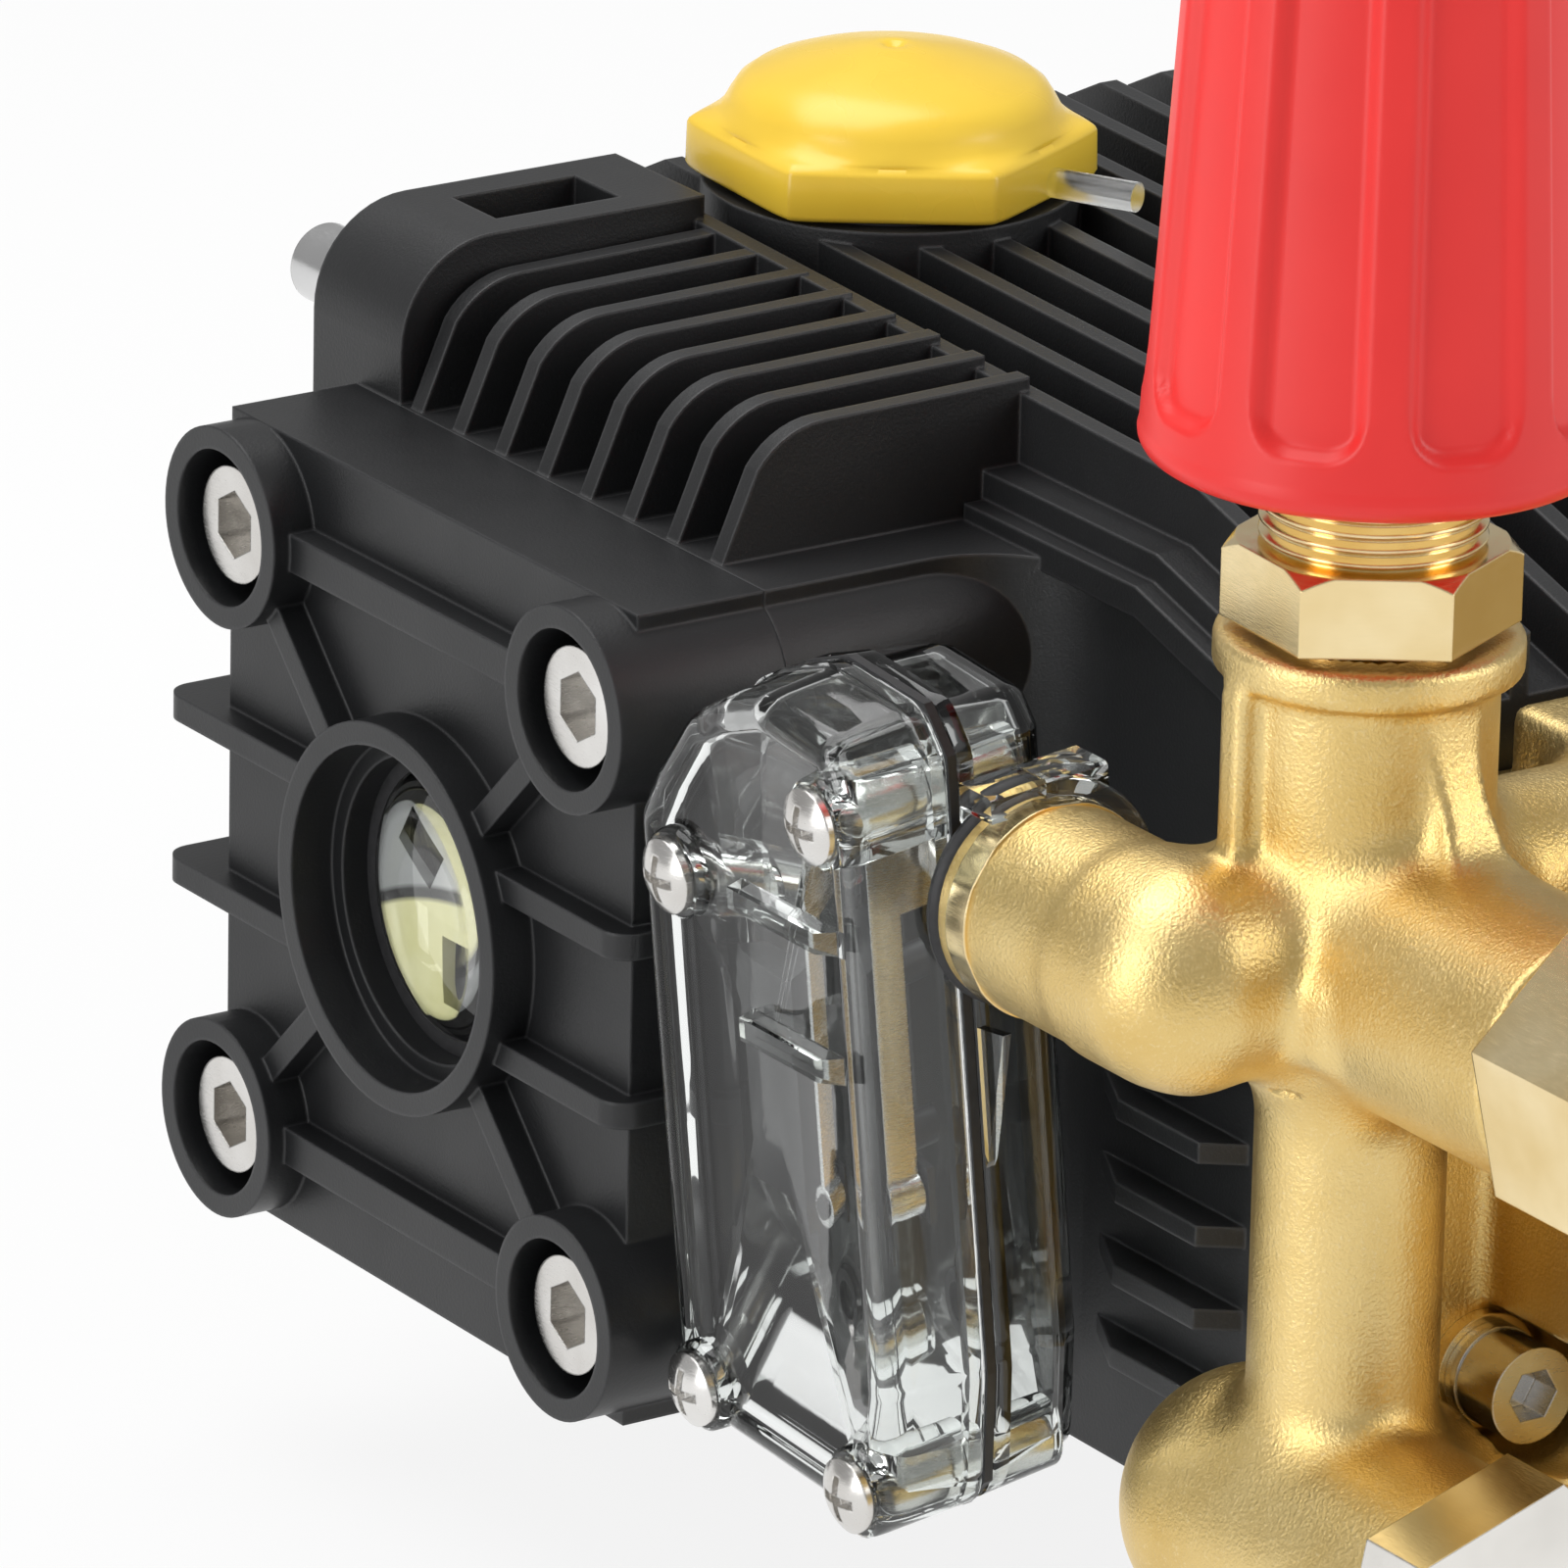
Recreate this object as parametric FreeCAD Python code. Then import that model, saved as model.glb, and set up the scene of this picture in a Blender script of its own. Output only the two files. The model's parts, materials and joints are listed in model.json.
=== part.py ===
import FreeCAD, Part
import math
import os

# Three-plunger pressure washer pump.
# Origin: crank axis at the face of the drive flange. +X points out of that face to the motor,
# -Y is the front with the brass head, +Z is up. All lengths are in millimetres.

# Crankcase and its end housing
cover_face_x = -180.0
cover_length = 20.0
shoulder_length = 52.0
end_half_width = 38.2
end_half_height = 43.2
case_front_y = -92.0
case_rear_y = 50.0
case_floor_z = -50.0
case_roof_z = 48.0
case_wall = 8.0
case_end_x = -27.0
case_front_part_y = -50.5
front_slope_start_y = -60.0
front_slope_drop = 9.0
corner_radius = 9.0

# Cover screws and their bosses
boss_spacing = 65.0
boss_radius = 10.65
screw_thread_radius = 4.0
screw_head_radius = 6.2
screw_head_height = 8.0
screw_head_recess = 1.8
screw_length = 26.0
screw_clearance = 0.15
socket_across_flats = 6.4
socket_depth_share = 0.6
counterbore_clearance = 2.05

# Sight glass
sight_ring_radius = 20.5
sight_ring_bore = 18.0
sight_step_radius = 16.0
sight_glass_recess = 8.0
sight_glass_thickness = 3.0
sight_seal_width = 1.6

# Cover panel and ribs
panel_recess = 5.0
cover_wall = 4.0
rib_thickness = 2.8
panel_rib_rise = 3.2
side_rib_spacing = 18.0
side_rib_reach = 8.5
side_rib_front_reach = 2.0

# Cooling fins
fin_thickness = 2.2
cross_fin_pitch = 8.0
cross_fin_count = 8
cross_fin_first_y = 27.4
long_fin_pitch = 8.0
long_fin_first = 57.5
long_fin_count = 12
fin_top_z = 57.0
fin_foot_x = 20.2
side_fin_pitch = 8.9
side_fin_count = 5
side_fin_first_z = -1.8
side_fin_reach = 4.0
side_fin_front_y = -79.0
side_fin_rear_y = -54.0
rear_fin_reach = 6.0
rail_reach = 2.4
rail_height = 3.2
rail_depth = 3.0
rail_rear_y = -30.0

# Rear lug with its stud and pocket
lug_first = 20.3
lug_thickness = 17.0
lug_rear_y = 47.0
lug_top_z = 60.0
lug_web_height = 16.0
lug_shoulder_radius = 11.0
stud_radius = 4.3
stud_offset = 27.0
stud_z = 50.5
stud_reach = 8.5
stud_seat_depth = 8.0

# Crank drive
crank_throw = 5.0
plunger_pitch = 32.0
last_throw_x = -42.0
eccentric_radius = 22.0
eccentric_width = 15.0
web_radius = 16.0
journal_radius = 15.0
drive_journal_radius = 20.0
drive_bore_radius = 12.01
drive_bore_depth = 50.0
key_width = 8.0
key_depth = 3.3
shaft_end_gap = 4.5
running_clearance = 0.05

# Bearings and shaft seal
cover_bearing_radius = 31.0
cover_bearing_width = 16.0
drive_bearing_radius = 40.0
drive_bearing_width = 18.0
race_thickness = 3.5
shaft_seal_radius = 31.0
shaft_seal_width = 8.0

# Drive flange
flange_radius = 70.0
flange_thickness = 14.0
spigot_radius = 47.5
spigot_depth = 4.0
motor_circle = 115.0
motor_hole_radius = 4.5
hub_radius = 44.0
hub_end_gap = 3.0
end_ring_radius = 50.0
ear_radius = 11.0
flange_screw_length = 18.0

# Connecting rods, guides and plungers
rod_ring_radius = 28.0
rod_width = 13.0
rod_reach = 40.5
rod_tip_half_height = 4.0
rod_shank_thickness = 8.0
guide_radius = 12.0
guide_length = 23.0
guide_rear_y = -51.0
guide_cup_radius = 9.5
guide_cup_depth = 17.0
wrist_pin_radius = 4.0
wrist_pin_depth = 12.0
plunger_radius = 9.0
plunger_length = 44.0
guide_bore_end_y = -80.0
seal_radius = 15.0
oil_seal_width = 8.0
seal_gap = 0.1

# Brass head
head_plate_thickness = 18.0
head_front_y = -150.0
head_top_z = 40.6
head_bottom_z = -45.0
head_top_first = 68.5
head_plate_first = 46.0
head_end_x = -18.0
head_bolt_first = 58.0
head_bolt_row_z = 22.5
head_bolt_radius = 3.0
head_bolt_head_radius = 5.0
head_bolt_head_height = 6.0
washer_radius = 6.0
washer_thickness = 1.6
head_bolt_grip = 14.0
bolt_pocket_radius = 6.6
water_seal_width = 7.0
spacer_width = 7.0
chamber_radius = 10.0
chamber_end_y = -140.0
valve_axis_z = 24.0
valve_bore_radius = 9.0
valve_bore_rear_y = -117.0
valve_passage_y = -134.0
valve_passage_radius = 4.0
valve_seat_y = -124.0
valve_seat_width = 4.0
valve_seat_bore = 5.0
poppet_radius = 6.6
poppet_height = 2.5
poppet_lift = 2.0
cap_thread_length = 9.0
cap_head_height = 8.0
cap_across_flats = 22.0
gallery_y = -114.0
delivery_gallery_z = 33.5
delivery_gallery_radius = 4.5
suction_gallery_z = -36.0
suction_gallery_radius = 6.0

# Regulator column on the head
column_offset = 38.5
neck_radius = 12.75
neck_rim_radius = 15.0
neck_rim_height = 4.0
neck_top_z = 59.0
neck_bore_radius = 8.5
neck_bore_floor_z = 12.0
lower_column_radius = 8.6
wing_thickness = 3.0
wing_reach = 15.6
outlet_axis_z = 26.5
outlet_radius = 13.5
outlet_front_y = -152.0
outlet_bore_radius = 6.0
inlet_axis_z = -35.0
inlet_offset = 37.0
inlet_radius = 14.2
inlet_dome_y = -104.0
inlet_front_y = -138.0
inlet_bore_radius = 8.0
switch_boss_offset = 19.0
switch_boss_radius = 11.0
switch_boss_front_y = -112.0
switch_boss_rear_y = -84.6
switch_bore_radius = 2.55

# Regulator nut, knob and spring
hexagon_turn = -34.0
nut_across_flats = 25.0
nut_height = 8.6
nut_seat_gap = 0.3
nut_spigot_length = 14.0
nut_chamfer_flare = 8.6
nut_chamfer_inset = 0.4
nut_chamfer_height = 9.0
nut_chamfer_over = 1.0
screw_major_radius = 11.0
screw_pitch = 1.5
screw_crest_count = 11
knob_bottom_z = 76.4
knob_height = 70.0
knob_bottom_radius = 22.8
knob_top_radius = 18.6
knob_flutes = 9
knob_flute_radius = 9.0
knob_flute_depth = 1.6
knob_flute_rise = 5.5
knob_socket_depth = 26.0
insert_radius = 14.0
insert_drop = 1.2
spring_outer_radius = 8.0
spring_inner_radius = 5.6
piston_head_z = 34.0
piston_length = 18.0
piston_radius = 8.0

# Outlet and inlet fittings
outlet_hex_flats = 27.0
outlet_hex_length = 16.0
outlet_thread_radius = 11.0
outlet_thread_length = 14.0
outlet_way_radius = 5.0
inlet_hex_flats = 30.0
inlet_hex_length = 9.0
inlet_thread_radius = 13.0
inlet_thread_length = 12.0
inlet_way_radius = 8.5
fitting_spigot_length = 10.0

# Oil filler
filler_offset = 81.0
filler_y = 30.0
filler_neck_radius = 20.0
filler_neck_top_z = 58.4
filler_bore_radius = 12.6
oil_cap_flats = 38.4
oil_cap_corner_radius = 0.8
oil_cap_hex_z = 58.9
oil_cap_hex_height = 5.9
oil_cap_dome_radius = 17.7
oil_cap_dome_height = 8.4
oil_cap_dimple = 1.2
oil_cap_stem_length = 12.0
cap_ring_radius = 17.6
cap_ring_wire = 1.4
breather_radius = 1.6
breather_start = 15.0
breather_length = 14.0
breather_turn = 62.0

# Pressure switch box, in a frame on the switch boss axis that leans with the box
box_lean = 5.9
box_front = -18.5
box_lid_depth = 11.5
box_base_depth = 11.5
box_gasket_thickness = 1.0
box_wall = 2.0
box_screw_radius = 1.9
box_screw_head_radius = 3.9
box_screw_head_height = 2.3
box_boss_radius = 4.8
lid_screw_places = ((-52.6, -3.0), (-79.2, 10.8), (-50.1, -59.8), (-77.8, -61.4))
box_outline = ((-43.8, 1.4), (-43.8, -60.5), (-47.5, -64.6), (-78.5, -66.4), (-82.6, -62.5),
               (-84.5, -50.0), (-84.5, 16.0), (-81.0, 20.5), (-68.0, 21.5), (-60.0, 18.5),
               (-54.4, 15.4), (-47.8, 7.4))
lid_bars = ((-81.0, -63.0, -3.2, -0.4), (-80.0, -63.5, -17.2, -14.2))
lid_bar_rise = 1.4
lid_pad_rise = 0.8
collar_radius = 13.2
collar_length = 5.5
collar_bar_width = 14.0
collar_bar_top = 13.0
collar_bar_height = 2.8
barrel_radius = 6.5
barrel_length = 21.0
micro_size = (8.0, 16.0, 28.0)
micro_centre = (-8.0, -57.5, -26.0)
button_radius = 1.4
button_height = 2.5
lever_rear_gap = 0.5
lever_length = 34.0
lever_width = 5.0
lever_thickness = 0.8
lever_pivot_radius = 1.2
gland_y = -64.0
gland_z = -52.0
gland_radius = 2.8
gland_bore = 2.2
gland_length = 9.0
switch_piston_radius = 2.5
switch_piston_head = 3.0
switch_piston_head_length = 2.5
switch_piston_nose = 1.0
switch_piston_nose_length = 1.0

throw_angles = (0.0, 120.0, 240.0)
throw_places = [last_throw_x - plunger_pitch * (2 - step) for step in range(3)]
neck_x = cover_face_x + column_offset
shoulder_x = cover_face_x + shoulder_length
seam_x = cover_face_x + cover_length
boss_places = [(side * boss_spacing / 2, level * boss_spacing / 2)
               for side in (1, -1) for level in (1, -1)]


def vec(x, y, z):
    return FreeCAD.Vector(x, y, z)


def block(x0, x1, y0, y1, z0, z1):
    corner = vec(min(x0, x1), min(y0, y1), min(z0, z1))
    return Part.makeBox(abs(x1 - x0), abs(y1 - y0), abs(z1 - z0), corner)


def rod(start, direction, radius, length):
    return Part.makeCylinder(radius, length, vec(*start), vec(*direction))


def along_x(x0, x1, y, z, radius):
    return rod((min(x0, x1), y, z), (1, 0, 0), radius, abs(x1 - x0))


def along_y(y0, y1, x, z, radius):
    return rod((x, min(y0, y1), z), (0, 1, 0), radius, abs(y1 - y0))


def along_z(z0, z1, x, y, radius):
    return rod((x, y, min(z0, z1)), (0, 0, 1), radius, abs(z1 - z0))


def fuse(shapes):
    return shapes[0].multiFuse(shapes[1:]).removeSplitter()


def domed_rod(dome_y, end_y, x, z, radius):
    # A round bar along Y whose one end swells into a half sphere.
    back = 1 if dome_y > end_y else -1
    tip = vec(x, dome_y + back * radius, z)
    shoulder = vec(x + radius, dome_y, z)
    bend = vec(x + radius * math.sqrt(0.5), dome_y + back * radius * math.sqrt(0.5), z)
    wire = Part.Wire([Part.Arc(tip, bend, shoulder).toShape(),
                      Part.makeLine(shoulder, vec(x + radius, end_y, z)),
                      Part.makeLine(vec(x + radius, end_y, z), vec(x, end_y, z)),
                      Part.makeLine(vec(x, end_y, z), tip)])
    solid = Part.Face(wire).revolve(vec(x, 0, z), vec(0, 1, 0), 360)
    return Part.makeSolid(solid) if solid.ShapeType != "Solid" else solid


def cut(shape, tools):
    return shape.cut(tools)


def prism(points, direction):
    corners = [vec(*point) for point in points]
    return Part.Face(Part.makePolygon(corners + [corners[0]])).extrude(vec(*direction))


def hexagon_prism(centre, direction, across_flats, length, turn=0.0):
    radius = across_flats / math.sqrt(3)
    corners = [vec(radius * math.cos(math.radians(60 * k + turn)),
                   radius * math.sin(math.radians(60 * k + turn)), 0) for k in range(6)]
    solid = Part.Face(Part.makePolygon(corners + [corners[0]])).extrude(vec(0, 0, length))
    solid.Placement = FreeCAD.Placement(vec(*centre),
                                        FreeCAD.Rotation(vec(0, 0, 1), vec(*direction)))
    return solid


def socket_screw(seat, direction, thread, head_radius, head_height, length, socket_flats):
    # The screw's head stands on the seat and its thread runs the other way.
    back = [-value for value in direction]
    head = rod(seat, direction, head_radius, head_height)
    shank = rod(seat, back, thread, length)
    depth = head_height * socket_depth_share
    mouth = [seat[k] + direction[k] * (head_height - depth) for k in range(3)]
    return fuse([head, shank]).cut(hexagon_prism(mouth, direction, socket_flats, depth))


def ring(start, direction, outer, inner, length):
    return rod(start, direction, outer, length).cut(rod(start, direction, inner, length))


def drop_at(y):
    # The roof and the fins fall away towards the front of the crankcase.
    span = front_slope_start_y - case_front_y
    return front_slope_drop * max(0.0, front_slope_start_y - y) / span


def case_profile(x0, x1):
    radius = corner_radius
    rear_top = (case_rear_y, case_roof_z)
    points = [(case_front_y, case_floor_z + radius), (case_front_y + radius, case_floor_z),
              (case_rear_y - 3 * radius, case_floor_z), (case_rear_y, case_floor_z + 3 * radius),
              (case_rear_y, case_roof_z - radius), (case_rear_y - radius, case_roof_z),
              (front_slope_start_y, case_roof_z), (case_front_y, case_roof_z - front_slope_drop)]
    corners = [vec(x0, y, z) for y, z in points]

    def bend(first, last, centre_y, centre_z, size, angle):
        middle = vec(x0, centre_y + size * math.cos(math.radians(angle)),
                     centre_z + size * math.sin(math.radians(angle)))
        return Part.Arc(corners[first], middle, corners[last]).toShape()

    edges = [bend(0, 1, case_front_y + radius, case_floor_z + radius, radius, 225),
             Part.makeLine(corners[1], corners[2]),
             bend(2, 3, rear_top[0] - 3 * radius, case_floor_z + 3 * radius, 3 * radius, 315),
             Part.makeLine(corners[3], corners[4]),
             bend(4, 5, rear_top[0] - radius, rear_top[1] - radius, radius, 45),
             Part.makeLine(corners[5], corners[6]),
             Part.makeLine(corners[6], corners[7]),
             Part.makeLine(corners[7], corners[0])]
    return Part.Face(Part.Wire(edges)).extrude(vec(x1 - x0, 0, 0))


def cross_fins():
    foot = cover_face_x + fin_foot_x
    ridge = cover_face_x + long_fin_first
    fins = []
    for step in range(cross_fin_count):
        y = cross_fin_first_y - step * cross_fin_pitch - fin_thickness / 2
        start = vec(foot, y, end_half_height - 1)
        slope = vec(foot + 4.4, y, 52.4)
        middle = vec(foot + 7.4, y, 55.2)
        flat = vec(foot + 12.4, y, 56.6)
        edges = [Part.makeLine(start, slope), Part.Arc(slope, middle, flat).toShape(),
                 Part.makeLine(flat, vec(ridge, y, fin_top_z)),
                 Part.makeLine(vec(ridge, y, fin_top_z), vec(ridge, y, end_half_height - 1)),
                 Part.makeLine(vec(ridge, y, end_half_height - 1), start)]
        fins.append(Part.Face(Part.Wire(edges)).extrude(vec(0, fin_thickness, 0)))
    return fins


def long_fins():
    fins = []
    rear = case_rear_y + rear_fin_reach
    for step in range(long_fin_count):
        x = cover_face_x + long_fin_first + step * long_fin_pitch - fin_thickness / 2
        outline = [(x, case_front_y, case_roof_z - front_slope_drop - 2),
                   (x, case_front_y, fin_top_z - 2.5 - drop_at(case_front_y)),
                   (x, front_slope_start_y, fin_top_z - 2.5), (x, rear - 8, fin_top_z + 1),
                   (x, rear - 2, fin_top_z - 2), (x, rear, fin_top_z - 8),
                   (x, rear, case_floor_z + 34), (x, case_rear_y - 5, case_floor_z + 22),
                   (x, case_rear_y - 12, case_roof_z - 12), (x, front_slope_start_y, case_roof_z - 2)]
        fins.append(prism(outline, (fin_thickness, 0, 0)))
    return fins


def side_fins():
    fins = []
    for step in range(side_fin_count):
        z = side_fin_first_z - step * side_fin_pitch
        outline = [(shoulder_x + 1, side_fin_rear_y, z), (shoulder_x, side_fin_rear_y, z),
                   (shoulder_x - side_fin_reach, side_fin_rear_y - 8, z),
                   (shoulder_x - side_fin_reach, side_fin_front_y + 3, z),
                   (shoulder_x, side_fin_front_y, z), (shoulder_x + 1, side_fin_front_y, z)]
        fins.append(prism(outline, (0, 0, fin_thickness)))
    return fins


def shoulder_fillet(side):
    # A concave sweep from the end housing out to the wide part of the case.
    radius = 13.0
    inner = side * end_half_width
    outer = side * (end_half_width + radius)
    web = block(shoulder_x - radius, shoulder_x, inner, outer, -end_half_height, end_half_height)
    return web.cut(rod((shoulder_x - radius, outer, -end_half_height - 1), (0, 0, 1), radius,
                       2 * end_half_height + 2))


def rear_lug():
    first = cover_face_x + lug_first
    last = cover_face_x + long_fin_first
    front = lug_rear_y - lug_thickness
    radius = lug_shoulder_radius
    base = end_half_height - 2
    start = vec(first, front, base)
    shoulder_low = vec(first, front, lug_top_z - radius)
    bend = vec(first + radius * (1 - math.sqrt(0.5)), front,
               lug_top_z - radius * (1 - math.sqrt(0.5)))
    shoulder_top = vec(first + radius, front, lug_top_z)
    far_top = vec(last, front, lug_top_z)
    far_low = vec(last, front, base)
    edges = [Part.makeLine(start, shoulder_low), Part.Arc(shoulder_low, bend, shoulder_top).toShape(),
             Part.makeLine(shoulder_top, far_top), Part.makeLine(far_top, far_low),
             Part.makeLine(far_low, start)]
    solid = Part.Face(Part.Wire(edges)).extrude(vec(0, lug_thickness, 0))
    pocket = block(first + 14, last - 8, front + 4, lug_rear_y - 4.5, base + 4, lug_top_z + 1)
    web = block(first, last, end_half_width - 2, lug_rear_y, base - lug_web_height, base + 1)
    return [solid.cut(pocket), web]


def end_housing():
    body = block(seam_x, shoulder_x + 1, -end_half_width, end_half_width,
                 -end_half_height, end_half_height)
    bosses = [along_x(seam_x, shoulder_x + 1, y, z, boss_radius) for y, z in boss_places]
    return [body] + bosses


def end_ring():
    disc = along_x(case_end_x - 2, -flange_thickness, 0, 0, end_ring_radius)
    ears = []
    for k in range(4):
        angle = math.radians(90 * k)
        y = motor_circle / 2 * math.cos(angle)
        z = motor_circle / 2 * math.sin(angle)
        ears.append(along_x(case_end_x - 2, -flange_thickness, y, z, ear_radius))
        ears.append(prism([(case_end_x - 2, 0.6 * y - 0.19 * z, 0.6 * z + 0.19 * y),
                           (case_end_x - 2, y - 0.19 * z, z + 0.19 * y),
                           (case_end_x - 2, y + 0.19 * z, z - 0.19 * y),
                           (case_end_x - 2, 0.6 * y + 0.19 * z, 0.6 * z - 0.19 * y)],
                          (-flange_thickness - case_end_x + 2, 0, 0)))
    return [disc] + ears


def case_hollows():
    chamber = block(shoulder_x + case_wall, case_end_x - 4, -40, case_rear_y - case_wall,
                    -42, case_roof_z - case_wall)
    hub_bore = along_x(drive_bearing_x() - hub_end_gap, -flange_thickness, 0, 0,
                       hub_radius + running_clearance)
    bearing_bore = along_x(shoulder_x - cover_bearing_width - 2, shoulder_x + case_wall + 1, 0, 0,
                           cover_bearing_radius + running_clearance)
    oil_bore = along_x(seam_x, shoulder_x - cover_bearing_width - 2, 0, 0, end_half_width - 4.2)
    filler_bore = along_z(case_roof_z - case_wall - 1, filler_neck_top_z,
                          cover_face_x + filler_offset, filler_y, filler_bore_radius)
    tools = [chamber, hub_bore, bearing_bore, oil_bore, filler_bore]
    for x in throw_places:
        tools.append(along_y(guide_bore_end_y, -39, x, 0, guide_radius + running_clearance))
        tools.append(along_y(guide_bore_end_y - oil_seal_width, guide_bore_end_y, x, 0, seal_radius))
        tools.append(along_y(case_front_y, guide_bore_end_y, x, 0, plunger_radius + 0.5))
    return tools


def screw_holes():
    radius = screw_thread_radius + screw_clearance
    tools = [along_x(seam_x, seam_x + screw_length, y, z, radius) for y, z in boss_places]
    for k in range(4):
        angle = math.radians(90 * k)
        y = motor_circle / 2 * math.cos(angle)
        z = motor_circle / 2 * math.sin(angle)
        tools.append(along_x(case_end_x - 2, -flange_thickness, y, z, radius))
    for x, z in head_bolt_places():
        tools.append(along_y(case_front_y, case_front_y + head_bolt_grip + 1, x, z,
                             head_bolt_radius + screw_clearance))
    tools.append(along_y(lug_rear_y - stud_seat_depth - seal_gap, lug_rear_y + 1,
                         cover_face_x + stud_offset, stud_z, stud_radius + seal_gap))
    return tools


def head_bolt_places():
    first = cover_face_x + head_bolt_first
    return [(first + plunger_pitch * step, side * head_bolt_row_z)
            for step in range(4) for side in (1, -1)]


def shoulder_rail():
    # The ledge under the roof edge follows the roof as it falls to the front.
    x = shoulder_x - rail_reach
    top = case_roof_z - rail_depth
    low = top - rail_height
    outline = [(x, case_front_y, low - front_slope_drop), (x, case_front_y, top - front_slope_drop),
               (x, front_slope_start_y, top), (x, rail_rear_y, top), (x, rail_rear_y, low),
               (x, front_slope_start_y, low)]
    return prism(outline, (rail_reach + 1, 0, 0))


def make_crankcase():
    neck = along_z(case_roof_z - 2, filler_neck_top_z, cover_face_x + filler_offset, filler_y,
                   filler_neck_radius)
    front_part = case_profile(shoulder_x, head_end_x)
    front_part = front_part.common(block(shoulder_x, head_end_x, case_front_y, case_front_part_y,
                                         case_floor_z, case_roof_z))
    solids = [case_profile(shoulder_x, case_end_x), front_part]
    solids += end_housing() + cross_fins() + long_fins()
    solids += side_fins() + [shoulder_fillet(1), shoulder_fillet(-1), neck, shoulder_rail()]
    solids += rear_lug() + end_ring()
    return cut(fuse(solids), case_hollows() + screw_holes())


def rounded_rib(y0, y1, z, x0, x1, thickness):
    plate = block(x0, x1, y0, y1, z - thickness / 2, z + thickness / 2)
    reach = abs(x1 - x0) / 3
    outer = [edge for edge in plate.Edges
             if abs(edge.CenterOfMass.y - y1) < 0.01 and edge.BoundBox.ZLength > thickness / 2]
    return plate.makeFillet(min(reach, 3.0), outer)


def diagonal_rib(y, z):
    length = math.hypot(y, z)
    panel_x = cover_face_x + panel_recess
    rib = block(panel_x - panel_rib_rise, panel_x + 1, sight_ring_radius - 2,
                length - boss_radius + 1, -rib_thickness / 2, rib_thickness / 2)
    rib.rotate(vec(0, 0, 0), vec(1, 0, 0), math.degrees(math.atan2(z, y)))
    return rib


def make_side_cover():
    panel_x = cover_face_x + panel_recess
    half = boss_spacing / 2
    solids = [block(panel_x, seam_x, -end_half_width, end_half_width, -end_half_height, end_half_height)]
    solids += [along_x(cover_face_x, seam_x, y, z, boss_radius) for y, z in boss_places]
    solids.append(along_x(cover_face_x, seam_x, 0, 0, sight_ring_radius))
    solids += [diagonal_rib(y, z) for y, z in boss_places]
    for z in (half, -half):
        solids.append(block(cover_face_x + 2, panel_x + 1, -half, half, z - 2, z + 2))
    for z in (side_rib_spacing / 2, -side_rib_spacing / 2):
        solids.append(rounded_rib(sight_ring_radius - 3, end_half_width + side_rib_reach, z,
                                  cover_face_x + 2, seam_x - 6, rib_thickness))
        solids.append(rounded_rib(-sight_ring_radius + 3, -end_half_width - side_rib_front_reach, z,
                                  cover_face_x + 2, seam_x - 6, rib_thickness))
    inner_half_y = end_half_width - cover_wall
    inner_half_z = end_half_height - cover_wall
    cavity = block(panel_x + cover_wall, seam_x, -inner_half_y, inner_half_y, -inner_half_z, inner_half_z)
    posts = [along_x(panel_x, seam_x, y, z, boss_radius) for y, z in boss_places]
    posts.append(along_x(panel_x, cover_face_x + 16, 0, 0, sight_ring_radius))
    cavity = cavity.cut(Part.makeCompound(posts))
    head = screw_head_radius + counterbore_clearance
    depth = screw_head_recess + screw_head_height
    tools = [cavity]
    for y, z in boss_places:
        tools.append(along_x(cover_face_x, cover_face_x + depth, y, z, head))
        tools.append(along_x(cover_face_x, seam_x, y, z, screw_thread_radius + screw_clearance))
    tools.append(along_x(cover_face_x, cover_face_x + 5, 0, 0, sight_ring_bore))
    tools.append(along_x(cover_face_x, cover_face_x + sight_glass_recess + sight_glass_thickness + 2,
                         0, 0, sight_step_radius))
    tools.append(along_x(cover_face_x, seam_x, 0, 0, sight_step_radius - 4))
    return cut(fuse(solids), tools)


def make_cover_screws():
    seat = cover_face_x + screw_head_recess + screw_head_height
    length = cover_length - screw_head_recess - screw_head_height + screw_length - 4
    return Part.makeCompound([socket_screw((seat, y, z), (-1, 0, 0), screw_thread_radius,
                                           screw_head_radius, screw_head_height, length,
                                           socket_across_flats) for y, z in boss_places])


def sight_glass_x():
    return cover_face_x + sight_glass_recess


def make_sight_glass():
    radius = sight_step_radius - sight_seal_width
    disc = along_x(sight_glass_x(), sight_glass_x() + sight_glass_thickness, 0, 0, radius)
    return disc


def make_sight_seal():
    return ring((sight_glass_x(), 0, 0), (1, 0, 0), sight_step_radius,
                sight_step_radius - sight_seal_width, sight_glass_thickness)


def make_sight_reflector():
    back = sight_glass_x() + sight_glass_thickness
    radius = sight_step_radius - 0.3
    disc = along_x(back, back + 1.5, 0, 0, radius)
    slots = []
    for k in range(3):
        slot = block(back, back + 1.5, 4, 11, -2.2, 2.2)
        slot.rotate(vec(0, 0, 0), vec(1, 0, 0), 30 + 120 * k)
        slots.append(slot)
    return cut(disc, slots)


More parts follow.
